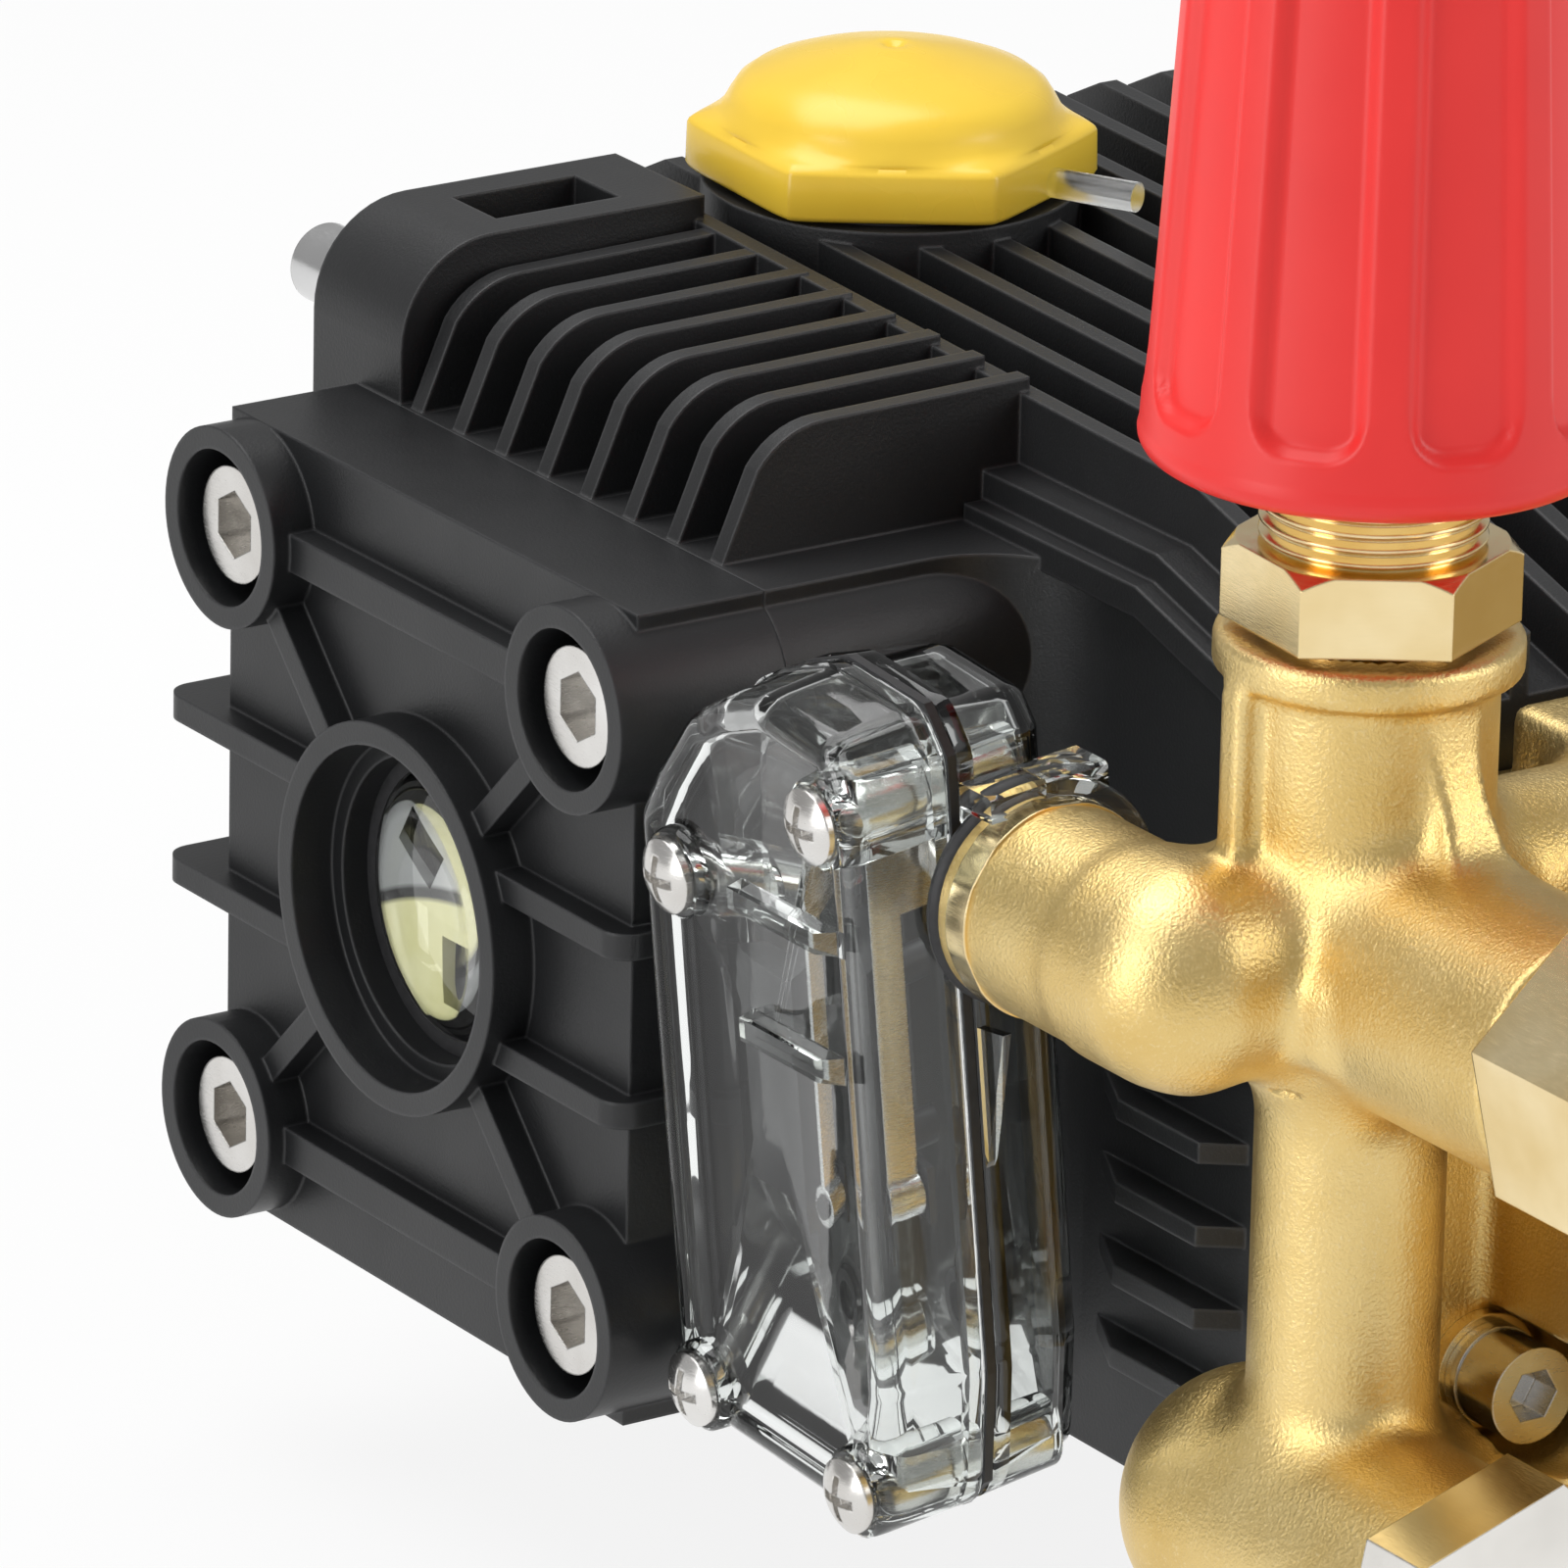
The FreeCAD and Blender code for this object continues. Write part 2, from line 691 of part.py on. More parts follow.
def make_crankshaft():
    left_end = shoulder_x - cover_bearing_width - 6
    solids = [along_x(left_end, throw_places[0], 0, 0, journal_radius),
              along_x(throw_places[0], throw_places[2] + eccentric_width / 2, 0, 0, web_radius),
              along_x(throw_places[2] + eccentric_width / 2, -shaft_end_gap, 0, 0,
                      drive_journal_radius)]
    for x, angle in zip(throw_places, throw_angles):
        y = crank_throw * math.cos(math.radians(angle))
        z = crank_throw * math.sin(math.radians(angle))
        solids.append(along_x(x - eccentric_width / 2, x + eccentric_width / 2, y, z, eccentric_radius))
    bore = along_x(-shaft_end_gap - drive_bore_depth, -shaft_end_gap, 0, 0, drive_bore_radius)
    keyway = block(-shaft_end_gap - drive_bore_depth + 8, -shaft_end_gap, -key_width / 2, key_width / 2,
                   0, drive_bore_radius + key_depth)
    return cut(fuse(solids), [bore, keyway])


def make_bearing(x0, width, outer, inner):
    # Two races with a ring of balls drawn between them as one part of the bearing.
    shells = [ring((x0, 0, 0), (1, 0, 0), outer, outer - race_thickness, width),
              ring((x0, 0, 0), (1, 0, 0), inner + race_thickness, inner + running_clearance, width)]
    middle = (outer + inner) / 2
    web = ring((x0 + width / 2 - 1, 0, 0), (1, 0, 0), outer - race_thickness + 0.5,
               inner + race_thickness - 0.5, 2)
    balls = []
    count = int(math.pi * middle / (outer - inner - 2 * race_thickness) * 0.8)
    ball = (outer - inner - 2 * race_thickness) / 2 + 0.3
    for k in range(count):
        angle = 2 * math.pi * k / count
        centre = vec(x0 + width / 2, middle * math.cos(angle), middle * math.sin(angle))
        balls.append(Part.makeSphere(min(ball, width / 2 - 0.5), centre))
    return fuse(shells + [web] + balls)


def cover_bearing_x():
    return shoulder_x - cover_bearing_width - 2


def drive_bearing_x():
    return -flange_thickness - drive_bearing_width


def make_drive_flange():
    hub_end = drive_bearing_x()
    solids = [along_x(-flange_thickness, 0, 0, 0, flange_radius),
              along_x(hub_end, -flange_thickness, 0, 0, hub_radius)]
    seal_x = -spigot_depth - 1 - shaft_seal_width
    tools = [along_x(-spigot_depth, 0, 0, 0, spigot_radius),
             along_x(hub_end, -flange_thickness, 0, 0, drive_bearing_radius + running_clearance),
             along_x(seal_x, 0, 0, 0, shaft_seal_radius + seal_gap),
             along_x(hub_end, 0, 0, 0, drive_journal_radius + 2)]
    for k in range(4):
        for turn, radius in ((45, motor_hole_radius), (0, screw_thread_radius + screw_clearance)):
            angle = math.radians(90 * k + turn)
            y = motor_circle / 2 * math.cos(angle)
            z = motor_circle / 2 * math.sin(angle)
            tools.append(along_x(-flange_thickness, 0, y, z, radius))
            if turn == 0:
                tools.append(along_x(-screw_head_height - 0.5, 0, y, z, screw_head_radius + 0.5))
    return cut(fuse(solids), tools)


def make_flange_screws():
    seat = -screw_head_height - 0.5
    solids = []
    for k in range(4):
        angle = math.radians(90 * k)
        y = motor_circle / 2 * math.cos(angle)
        z = motor_circle / 2 * math.sin(angle)
        solids.append(socket_screw((seat, y, z), (1, 0, 0), screw_thread_radius, screw_head_radius,
                                   screw_head_height, flange_screw_length, socket_across_flats))
    return Part.makeCompound(solids)


def make_shaft_seal():
    x0 = -spigot_depth - 1 - shaft_seal_width
    return ring((x0, 0, 0), (1, 0, 0), shaft_seal_radius, drive_journal_radius + seal_gap, shaft_seal_width)


def throw_centre(index):
    angle = math.radians(throw_angles[index])
    return (throw_places[index], crank_throw * math.cos(angle), crank_throw * math.sin(angle))


def make_conrod(index):
    x, y, z = throw_centre(index)
    bore = eccentric_radius + running_clearance
    ring_part = along_x(x - rod_width / 2, x + rod_width / 2, y, z, rod_ring_radius)
    half = rod_shank_thickness / 2
    shank = prism([(x - half, y - rod_reach, z - rod_tip_half_height),
                   (x - half, y - rod_reach, z + rod_tip_half_height),
                   (x - half, y - bore, z + 2 * rod_tip_half_height),
                   (x - half, y - bore, z - 2 * rod_tip_half_height)], (rod_shank_thickness, 0, 0))
    return cut(fuse([ring_part, shank]), [along_x(x - rod_width, x + rod_width, y, z, bore)])


def guide_shift(index):
    return crank_throw * math.cos(math.radians(throw_angles[index]))


def make_guide(index):
    x = throw_places[index]
    rear = guide_rear_y + guide_shift(index)
    body = along_y(rear - guide_length, rear, x, 0, guide_radius)
    cup = along_y(rear - guide_cup_depth, rear, x, 0, guide_cup_radius)
    pin_hole = along_x(x - guide_radius, x + guide_radius, rear - wrist_pin_depth, 0,
                       wrist_pin_radius + seal_gap / 2)
    return cut(body, [cup, pin_hole])


def make_wrist_pin(index):
    x = throw_places[index]
    rear = guide_rear_y + guide_shift(index)
    return along_x(x - guide_radius + 1, x + guide_radius - 1, rear - wrist_pin_depth, 0, wrist_pin_radius)


def make_plunger(index):
    front = guide_rear_y + guide_shift(index) - guide_length
    body = along_y(front - plunger_length, front, throw_places[index], 0, plunger_radius)
    return body.makeChamfer(1.0, [edge for edge in body.Edges
                                  if abs(edge.BoundBox.YMin - front + plunger_length) < 0.01
                                  and edge.BoundBox.YLength < 0.01])


def plunger_rings(y_front, y_rear):
    return Part.makeCompound([ring((x, y_front, 0), (0, 1, 0), seal_radius - seal_gap,
                                   plunger_radius + seal_gap, y_rear - y_front) for x in throw_places])


def neck_wing():
    # A flat cast strip down the rear left of the neck, where the two mould halves met.
    return block(neck_x - wing_reach, neck_x, gallery_y, gallery_y + wing_thickness, outlet_axis_z,
                 neck_top_z - neck_rim_height)


def head_casting():
    plate_x = cover_face_x + head_plate_first
    plate = block(plate_x, head_end_x, case_front_y - head_plate_thickness, case_front_y, -32, 32)
    top = block(cover_face_x + head_top_first, head_end_x, head_front_y, case_front_y - 5, 0, head_top_z)
    low_x = cover_face_x + head_bolt_first + plunger_pitch / 2 - seal_radius
    low = block(low_x, head_end_x, head_front_y, case_front_y - 5, head_bottom_z, 0)
    switch_x = cover_face_x + switch_boss_offset
    inlet_x = cover_face_x + inlet_offset
    solids = [plate, top, low,
              along_z(outlet_axis_z, neck_top_z - neck_rim_height, neck_x, gallery_y, neck_radius),
              along_z(neck_top_z - neck_rim_height, neck_top_z, neck_x, gallery_y, neck_rim_radius),
              along_z(inlet_axis_z, outlet_axis_z, neck_x, gallery_y, lower_column_radius),
              domed_rod(gallery_y, outlet_front_y, neck_x, outlet_axis_z, outlet_radius),
              domed_rod(switch_boss_front_y, switch_boss_rear_y, switch_x, outlet_axis_z,
                        switch_boss_radius),
              along_x(switch_x, neck_x, gallery_y + 2, outlet_axis_z, switch_boss_radius - 1),
              domed_rod(inlet_dome_y, inlet_front_y, inlet_x, inlet_axis_z, inlet_radius),
              along_x(neck_x, cover_face_x + head_top_first, gallery_y, delivery_gallery_z - 4,
                      outlet_radius - 3),
              along_x(inlet_x, low_x + 2, gallery_y, suction_gallery_z + 1, inlet_radius - 3),
              neck_wing()]
    gusset = prism([(neck_x - 1.5, gallery_y - neck_radius + 2, neck_top_z - 8),
                    (neck_x - 1.5, gallery_y - neck_radius - 9, outlet_axis_z + 10),
                    (neck_x - 1.5, gallery_y - neck_radius + 2, outlet_axis_z + 10)], (6, 0, 0))
    return solids + [gusset]


def head_hollows():
    switch_x = cover_face_x + switch_boss_offset
    inlet_x = cover_face_x + inlet_offset
    tools = [along_z(neck_bore_floor_z, neck_top_z, neck_x, gallery_y, neck_bore_radius),
             along_z(neck_top_z - nut_spigot_length, neck_top_z, neck_x, gallery_y,
                     screw_major_radius - 1 + seal_gap),
             along_z(inlet_axis_z, neck_bore_floor_z, neck_x, gallery_y, 3.5),
             along_y(outlet_front_y, gallery_y, neck_x, outlet_axis_z, outlet_bore_radius),
             along_y(outlet_front_y, outlet_front_y + fitting_spigot_length + 1, neck_x, outlet_axis_z,
                     outlet_thread_radius - 1 + seal_gap),
             along_y(inlet_front_y, inlet_dome_y, inlet_x, inlet_axis_z, inlet_bore_radius),
             along_y(inlet_front_y, inlet_front_y + fitting_spigot_length + 1, inlet_x, inlet_axis_z,
                     inlet_thread_radius - 1.5 + seal_gap),
             along_x(neck_x, head_end_x - 8, gallery_y, delivery_gallery_z, delivery_gallery_radius),
             along_x(inlet_x, head_end_x - 8, gallery_y, suction_gallery_z, suction_gallery_radius),
             along_y(switch_boss_front_y, switch_boss_rear_y, switch_x, outlet_axis_z, switch_bore_radius),
             along_x(switch_x, neck_x, switch_boss_front_y, outlet_axis_z, 2.0)]
    seal_depth = spacer_width + water_seal_width
    for x in throw_places:
        tools.append(along_y(case_front_y - seal_depth, case_front_y, x, 0, seal_radius))
        tools.append(along_y(chamber_end_y, case_front_y, x, 0, chamber_radius))
        tools.append(along_z(-valve_axis_z, valve_axis_z, x, valve_passage_y, valve_passage_radius))
        for z in (valve_axis_z, -valve_axis_z):
            tools.append(along_y(head_front_y, valve_bore_rear_y, x, z, valve_bore_radius + seal_gap))
    for x, z in head_bolt_places():
        seat_y = case_front_y - head_plate_thickness
        tools.append(along_y(seat_y, case_front_y, x, z, head_bolt_radius + screw_clearance))
        tools.append(along_y(head_front_y, seat_y, x, z, bolt_pocket_radius))
    return tools


def make_head():
    return cut(fuse(head_casting()), head_hollows())


def make_head_bolts():
    seat_y = case_front_y - head_plate_thickness - 2 * washer_thickness
    length = head_plate_thickness + 2 * washer_thickness + head_bolt_grip
    return Part.makeCompound([socket_screw((x, seat_y, z), (0, -1, 0), head_bolt_radius,
                                           head_bolt_head_radius, head_bolt_head_height, length, 5.0)
                              for x, z in head_bolt_places()])


def make_washers(first, radius):
    seat_y = case_front_y - head_plate_thickness - first
    inner = head_bolt_radius + screw_clearance
    return Part.makeCompound([ring((x, seat_y - washer_thickness, z), (0, 1, 0), radius, inner,
                                   washer_thickness) for x, z in head_bolt_places()])


def valve_places():
    return [(x, z) for x in throw_places for z in (valve_axis_z, -valve_axis_z)]


def make_valve_caps():
    solids = []
    for x, z in valve_places():
        thread = along_y(head_front_y, head_front_y + cap_thread_length, x, z, valve_bore_radius)
        head = hexagon_prism((x, head_front_y, z), (0, -1, 0), cap_across_flats, cap_head_height)
        solids.append(fuse([thread, head]))
    return Part.makeCompound(solids)


def make_valve_seats():
    return Part.makeCompound([ring((x, valve_seat_y - valve_seat_width, z), (0, 1, 0), valve_bore_radius,
                                   valve_seat_bore, valve_seat_width) for x, z in valve_places()])


def make_poppet(index, delivery):
    # A delivery valve opens to the rear of its seat, a suction valve to the front.
    x = throw_places[index]
    gap = 0.05
    if delivery:
        start = valve_seat_y + gap
        disc = along_y(start, start + poppet_height, x, valve_axis_z, poppet_radius)
        guide = along_y(start - 3.5, start, x, valve_axis_z, 2.0)
    else:
        start = valve_seat_y - valve_seat_width - gap
        disc = along_y(start - poppet_height, start, x, -valve_axis_z, poppet_radius)
        guide = along_y(start, start + 3.5, x, -valve_axis_z, 2.0)
    return fuse([disc, guide])


def thread_rings(z0, count, outer, core):
    half = screw_pitch / 2
    points = []
    for k in range(count):
        z = z0 + k * screw_pitch
        points += [(core, z), (outer, z + half * 0.8), (outer, z + half * 1.2)]
    points.append((core, z0 + count * screw_pitch))
    return points


def make_regulator_nut():
    seat = neck_top_z + nut_seat_gap
    body = hexagon_prism((neck_x, gallery_y, seat), (0, 0, 1), nut_across_flats, nut_height,
                         hexagon_turn)
    chamfer = Part.makeCone(nut_across_flats / 2 + nut_chamfer_flare, nut_across_flats / 2 - nut_chamfer_inset,
                            nut_chamfer_height,
                            vec(neck_x, gallery_y, seat + nut_height + nut_chamfer_over - nut_chamfer_height))
    body = body.common(chamfer)
    spigot = along_z(neck_top_z - nut_spigot_length + 1, seat + 1, neck_x, gallery_y, screw_major_radius - 1)
    start = seat + nut_height
    profile = [(0.0, start - 1), (screw_major_radius - 1, start - 1)]
    profile += thread_rings(start, screw_crest_count, screw_major_radius, screw_major_radius - 0.9)
    profile.append((0.0, start + screw_crest_count * screw_pitch))
    corners = [vec(neck_x + radius, gallery_y, z) for radius, z in profile]
    face = Part.Face(Part.makePolygon(corners + [corners[0]]))
    threaded = face.revolve(vec(neck_x, gallery_y, 0), vec(0, 0, 1), 360)
    way = along_z(neck_top_z - nut_spigot_length, start + screw_crest_count * screw_pitch + 1, neck_x,
                  gallery_y, spring_outer_radius + 0.3)
    return fuse([body, spigot, threaded]).cut(way)


def knob_radius(z):
    share = (z - knob_bottom_z) / knob_height
    return knob_bottom_radius + (knob_top_radius - knob_bottom_radius) * share


def make_knob():
    top_z = knob_bottom_z + knob_height
    body = Part.makeCone(knob_bottom_radius, knob_top_radius, knob_height,
                         vec(neck_x, gallery_y, knob_bottom_z))
    rims = [edge for edge in body.Edges if edge.BoundBox.ZLength < 0.01]
    body = body.makeFillet(2.5, rims)
    tools = []
    foot = knob_bottom_z + knob_flute_rise
    for k in range(knob_flutes):
        angle = math.radians(-34.151 - 90 + 20 + 40 * k)
        reach = knob_radius(foot) + knob_flute_radius - knob_flute_depth
        top_reach = knob_radius(top_z) + knob_flute_radius - knob_flute_depth
        low = vec(neck_x + reach * math.cos(angle), gallery_y + reach * math.sin(angle), foot + 6)
        high = vec(neck_x + top_reach * math.cos(angle), gallery_y + top_reach * math.sin(angle), top_z + 2)
        axis = high.sub(low)
        tools.append(Part.makeCylinder(knob_flute_radius, axis.Length, low, axis))
        tools.append(Part.makeSphere(knob_flute_radius, low))
    socket = along_z(knob_bottom_z, knob_bottom_z + knob_socket_depth, neck_x, gallery_y,
                     insert_radius + seal_gap / 2)
    return cut(body, tools + [socket])


def make_knob_insert():
    bottom = knob_bottom_z - insert_drop
    top = knob_bottom_z + knob_socket_depth
    body = along_z(bottom, top, neck_x, gallery_y, insert_radius)
    bore = along_z(bottom, top - 5, neck_x, gallery_y, screw_major_radius + running_clearance)
    return body.cut(bore)


def spring_seat_z():
    return knob_bottom_z + knob_socket_depth - 5


def make_spring_seat():
    top = spring_seat_z() - 0.1
    return fuse([along_z(top - 3, top, neck_x, gallery_y, spring_outer_radius),
                 along_z(top - 12, top - 3, neck_x, gallery_y, spring_inner_radius - 0.6)])


def make_regulator_spring():
    return ring((neck_x, gallery_y, piston_head_z + 0.2), (0, 0, 1), spring_outer_radius,
                spring_inner_radius, spring_seat_z() - 3.3 - piston_head_z)


def make_regulator_piston():
    head = along_z(piston_head_z - 6, piston_head_z, neck_x, gallery_y, piston_radius)
    stem = along_z(piston_head_z - piston_length, piston_head_z - 6, neck_x, gallery_y, 3.0)
    return fuse([head, stem])


def make_outlet_fitting():
    hexagon = hexagon_prism((neck_x, outlet_front_y - 0.2, outlet_axis_z), (0, -1, 0), outlet_hex_flats,
                            outlet_hex_length, 43.0)
    thread_end = outlet_front_y - 0.2 - outlet_hex_length
    solids = [hexagon, along_y(thread_end - outlet_thread_length, thread_end, neck_x, outlet_axis_z,
                               outlet_thread_radius),
              along_y(outlet_front_y - 1, outlet_front_y + fitting_spigot_length, neck_x, outlet_axis_z,
                      outlet_thread_radius - 1)]
    way = along_y(thread_end - outlet_thread_length, outlet_front_y + fitting_spigot_length, neck_x,
                  outlet_axis_z, outlet_way_radius)
    return fuse(solids).cut(way)


def make_inlet_fitting():
    x = cover_face_x + inlet_offset
    hexagon = hexagon_prism((x, inlet_front_y - 0.2, inlet_axis_z), (0, -1, 0), inlet_hex_flats,
                            inlet_hex_length, 18.0)
    spigot = along_y(inlet_front_y - 1, inlet_front_y + fitting_spigot_length, x, inlet_axis_z,
                     inlet_thread_radius - 1.5)
    way = along_y(inlet_front_y - inlet_hex_length - 1, inlet_front_y + fitting_spigot_length, x,
                  inlet_axis_z, inlet_way_radius)
    return fuse([hexagon, spigot]).cut(way)


def filler_x():
    return cover_face_x + filler_offset


def make_oil_cap():
    top = oil_cap_hex_z + oil_cap_hex_height
    solid = hexagon_prism((filler_x(), filler_y, oil_cap_hex_z), (0, 0, 1), oil_cap_flats,
                          oil_cap_hex_height, hexagon_turn)
    solid = solid.makeFillet(oil_cap_corner_radius, [edge for edge in solid.Edges if edge.BoundBox.ZLength > 1])
    outline = [(0.0, -1.0), (oil_cap_dome_radius, -1.0), (oil_cap_dome_radius, 0.0),
               (oil_cap_dome_radius - 0.9, 0.28 * oil_cap_dome_height),
               (oil_cap_dome_radius - 3.0, 0.54 * oil_cap_dome_height),
               (oil_cap_dome_radius / 2, 0.88 * oil_cap_dome_height), (oil_cap_dimple, oil_cap_dome_height),
               (0.0, oil_cap_dome_height - oil_cap_dimple / 2)]
    corners = [vec(filler_x() + radius, filler_y, top + rise) for radius, rise in outline]
    crown = Part.BSplineCurve()
    crown.interpolate(corners[2:7])
    wire = Part.Wire([Part.makeLine(corners[0], corners[1]), Part.makeLine(corners[1], corners[2]),
                      crown.toShape(), Part.makeLine(corners[6], corners[7]),
                      Part.makeLine(corners[7], corners[0])])
    dome = Part.Face(wire).revolve(vec(filler_x(), filler_y, 0), vec(0, 0, 1), 360)
    stem = along_z(oil_cap_hex_z - oil_cap_stem_length, oil_cap_hex_z + 1, filler_x(), filler_y,
                   filler_bore_radius - running_clearance)
    return fuse([solid, dome, stem]).cut(breather(breather_radius + running_clearance))


def make_cap_ring():
    return ring((filler_x(), filler_y, filler_neck_top_z + 0.02), (0, 0, 1), cap_ring_radius,
                cap_ring_radius - 2 * cap_ring_wire, oil_cap_hex_z - filler_neck_top_z - 0.04)


def breather(radius):
    angle = math.radians(-breather_turn)
    direction = (math.cos(angle), math.sin(angle), 0)
    start = (filler_x() + breather_start * direction[0], filler_y + breather_start * direction[1],
             oil_cap_hex_z + breather_radius + 0.4)
    return rod(start, direction, radius, breather_length)


def make_rear_pin():
    return along_y(lug_rear_y - stud_seat_depth, lug_rear_y + stud_reach, cover_face_x + stud_offset,
                   stud_z, stud_radius)


def lean(shape):
    # Turns a shape from the switch box frame into the pump frame.
    shape.rotate(vec(0, 0, 0), vec(0, 1, 0), -box_lean)
    shape.translate(vec(cover_face_x + switch_boss_offset, 0, outlet_axis_z))
    return shape


def outline_face(x, shrink=0.0):
    corners = [vec(x, y, z) for y, z in box_outline]
    wire = Part.makePolygon(corners + [corners[0]])
    if shrink:
        wire = wire.makeOffset2D(-shrink)
    return Part.Face(wire)


def box_slab(x0, x1, shrink=0.0):
    return outline_face(x0, shrink).extrude(vec(x1 - x0, 0, 0))


def lid_back():
    return box_front + box_lid_depth


def base_front():
    return lid_back() + box_gasket_thickness


def base_back():
    return base_front() + box_base_depth


def screw_tools(x0, x1, radius):
    return [along_x(x0, x1, y, z, radius) for y, z in lid_screw_places]


def make_box_lid():
    shell = box_slab(box_front, lid_back())
    hollow = box_slab(box_front + box_wall, lid_back(), box_wall)
    hollow = hollow.cut(Part.makeCompound(screw_tools(box_front, lid_back(), box_boss_radius - 1)))
    bars = [block(box_front - lid_bar_rise, box_front + 1, *bar) for bar in lid_bars]
    pads = screw_tools(box_front - lid_pad_rise, box_front + 1, box_boss_radius)
    body = fuse([shell] + bars + pads)
    return lean(cut(body, [hollow] + screw_tools(box_front - 1, lid_back(), box_screw_radius + 0.2)))


def make_box_gasket():
    slab = box_slab(lid_back(), base_front())
    inner = box_slab(lid_back(), base_front(), box_wall)
    return lean(cut(slab, [inner] + screw_tools(lid_back(), base_front(), box_screw_radius + 0.2)))


def make_box_base():
    shell = box_slab(base_front(), base_back())
    hollow = box_slab(base_front(), base_back() - box_wall, box_wall)
    hollow = hollow.cut(Part.makeCompound(screw_tools(base_front(), base_back(), box_boss_radius - 1)))
    front = box_outline[6][0]
    collar = along_y(front - collar_length, front + 1, 0, 0, collar_radius)
    collar = collar.common(block(base_front(), 20, front - collar_length, front + 1, -20, 20))
    bar = block(base_front(), base_front() + collar_bar_width, front - collar_length, front + 1,
                collar_bar_top - collar_bar_height, collar_bar_top)
    barrel = along_y(front, front + barrel_length, 0, 0, barrel_radius)
    barrel = barrel.common(block(0, barrel_radius, front, front + barrel_length, -20, 20))
    grip = along_y(front - collar_length, front, 0, 0, switch_boss_radius + 0.1)
    way = along_y(front - 1, front + barrel_length - box_wall, 0, 0, switch_piston_head + 0.6)
    gland_hole = along_x(base_back() - box_wall - 1, base_back() + 1, gland_y, gland_z,
                         gland_radius + seal_gap)
    tools = [hollow, grip, way, gland_hole]
    tools += screw_tools(base_front(), base_back() - box_wall, box_screw_radius + 0.2)
    return lean(cut(fuse([shell, collar, bar, barrel]), tools))


def make_lid_screws():
    solids = []
    for y, z in lid_screw_places:
        top = box_front - lid_pad_rise
        crown = box_screw_head_radius * 1.6
        head = Part.makeSphere(crown, vec(top + crown - box_screw_head_height, y, z))
        head = head.common(along_x(top - box_screw_head_height - 1, top, y, z, box_screw_head_radius))
        shank = along_x(top, base_back() - box_wall - 1, y, z, box_screw_radius)
        slot = [block(top - 3, top - 1.2, y - 2.4, y + 2.4, z - 0.5, z + 0.5),
                block(top - 3, top - 1.2, y - 0.5, y + 0.5, z - 2.4, z + 2.4)]
        solids.append(cut(fuse([head, shank]), slot))
    return lean(Part.makeCompound(solids))


def make_microswitch():
    dx, dy, dz = micro_size
    cx, cy, cz = micro_centre
    body = block(cx - dx / 2, cx + dx / 2, cy - dy / 2, cy + dy / 2, cz - dz / 2, cz + dz / 2)
    x, y, z = lever_pivot()
    posts = [along_x(cx + dx / 2, base_back() - box_wall, cy, cz + shift, 2.0) for shift in (-9, 9)]
    posts += [block(cx + 3, cx + 4, y - 2, cy, z - 3, z + 3),
              along_x(cx - 3.2, cx + 4, y, z, lever_pivot_radius)]
    button_hole = along_y(cy - dy / 2, cy - dy / 2 + 4, cx, cz + 5, button_radius + running_clearance)
    tags = [block(cx - 0.4, cx + 0.4, cy - 3 + shift, cy + 3 + shift, cz - dz / 2 - 5, cz - dz / 2)
            for shift in (-4, 4)]
    return lean(cut(fuse([body] + posts + tags), [button_hole]))


def make_switch_button():
    cx, cy, cz = micro_centre
    face = cy - micro_size[1] / 2
    return lean(along_y(face - button_height, face + 2.0, cx, cz + 5, button_radius))


def lever_pivot():
    cx, cy, cz = micro_centre
    return (cx, cy - micro_size[1] / 2 - button_height - lever_rear_gap, cz - 10)


def make_switch_lever():
    x, y, z = lever_pivot()
    eye = along_x(x - lever_width / 2, x + lever_width / 2, y, z, lever_pivot_radius + 1.0)
    blade = block(x - lever_width / 2, x + lever_width / 2, y - lever_thickness / 2, y + lever_thickness / 2,
                  z, z + lever_length)
    foot = block(x - lever_width / 2, 1.5, y - lever_thickness / 2, y + lever_thickness / 2,
                 z + lever_length - 4, z + lever_length + 6)
    hole = along_x(x - lever_width, x + lever_width, y, z, lever_pivot_radius + running_clearance)
    return lean(cut(fuse([eye, blade, foot]), [hole]))


def make_switch_piston():
    y = lever_pivot()[1] - lever_thickness / 2 - 0.1
    shoulder = y - switch_piston_nose_length
    nose = along_y(shoulder, y, 0, 0, switch_piston_nose)
    head = along_y(shoulder - switch_piston_head_length, shoulder, 0, 0, switch_piston_head)
    stem = along_y(switch_boss_front_y + 4, shoulder - switch_piston_head_length, 0, 0,
                   switch_piston_radius)
    return lean(fuse([nose, head, stem]))


def make_cable_gland():
    inside = base_back() - box_wall - seal_gap
    outside = base_back() + seal_gap
    body = fuse([along_x(inside - 1.5, outside + gland_length, gland_y, gland_z, gland_radius),
                 along_x(outside, outside + 3.0, gland_y, gland_z, gland_radius + 1.0),
                 along_x(inside - 1.5, inside, gland_y, gland_z, gland_radius + 0.7)])
    way = along_x(inside - 2, outside + gland_length, gland_y, gland_z, gland_bore)
    return lean(body.cut(way))


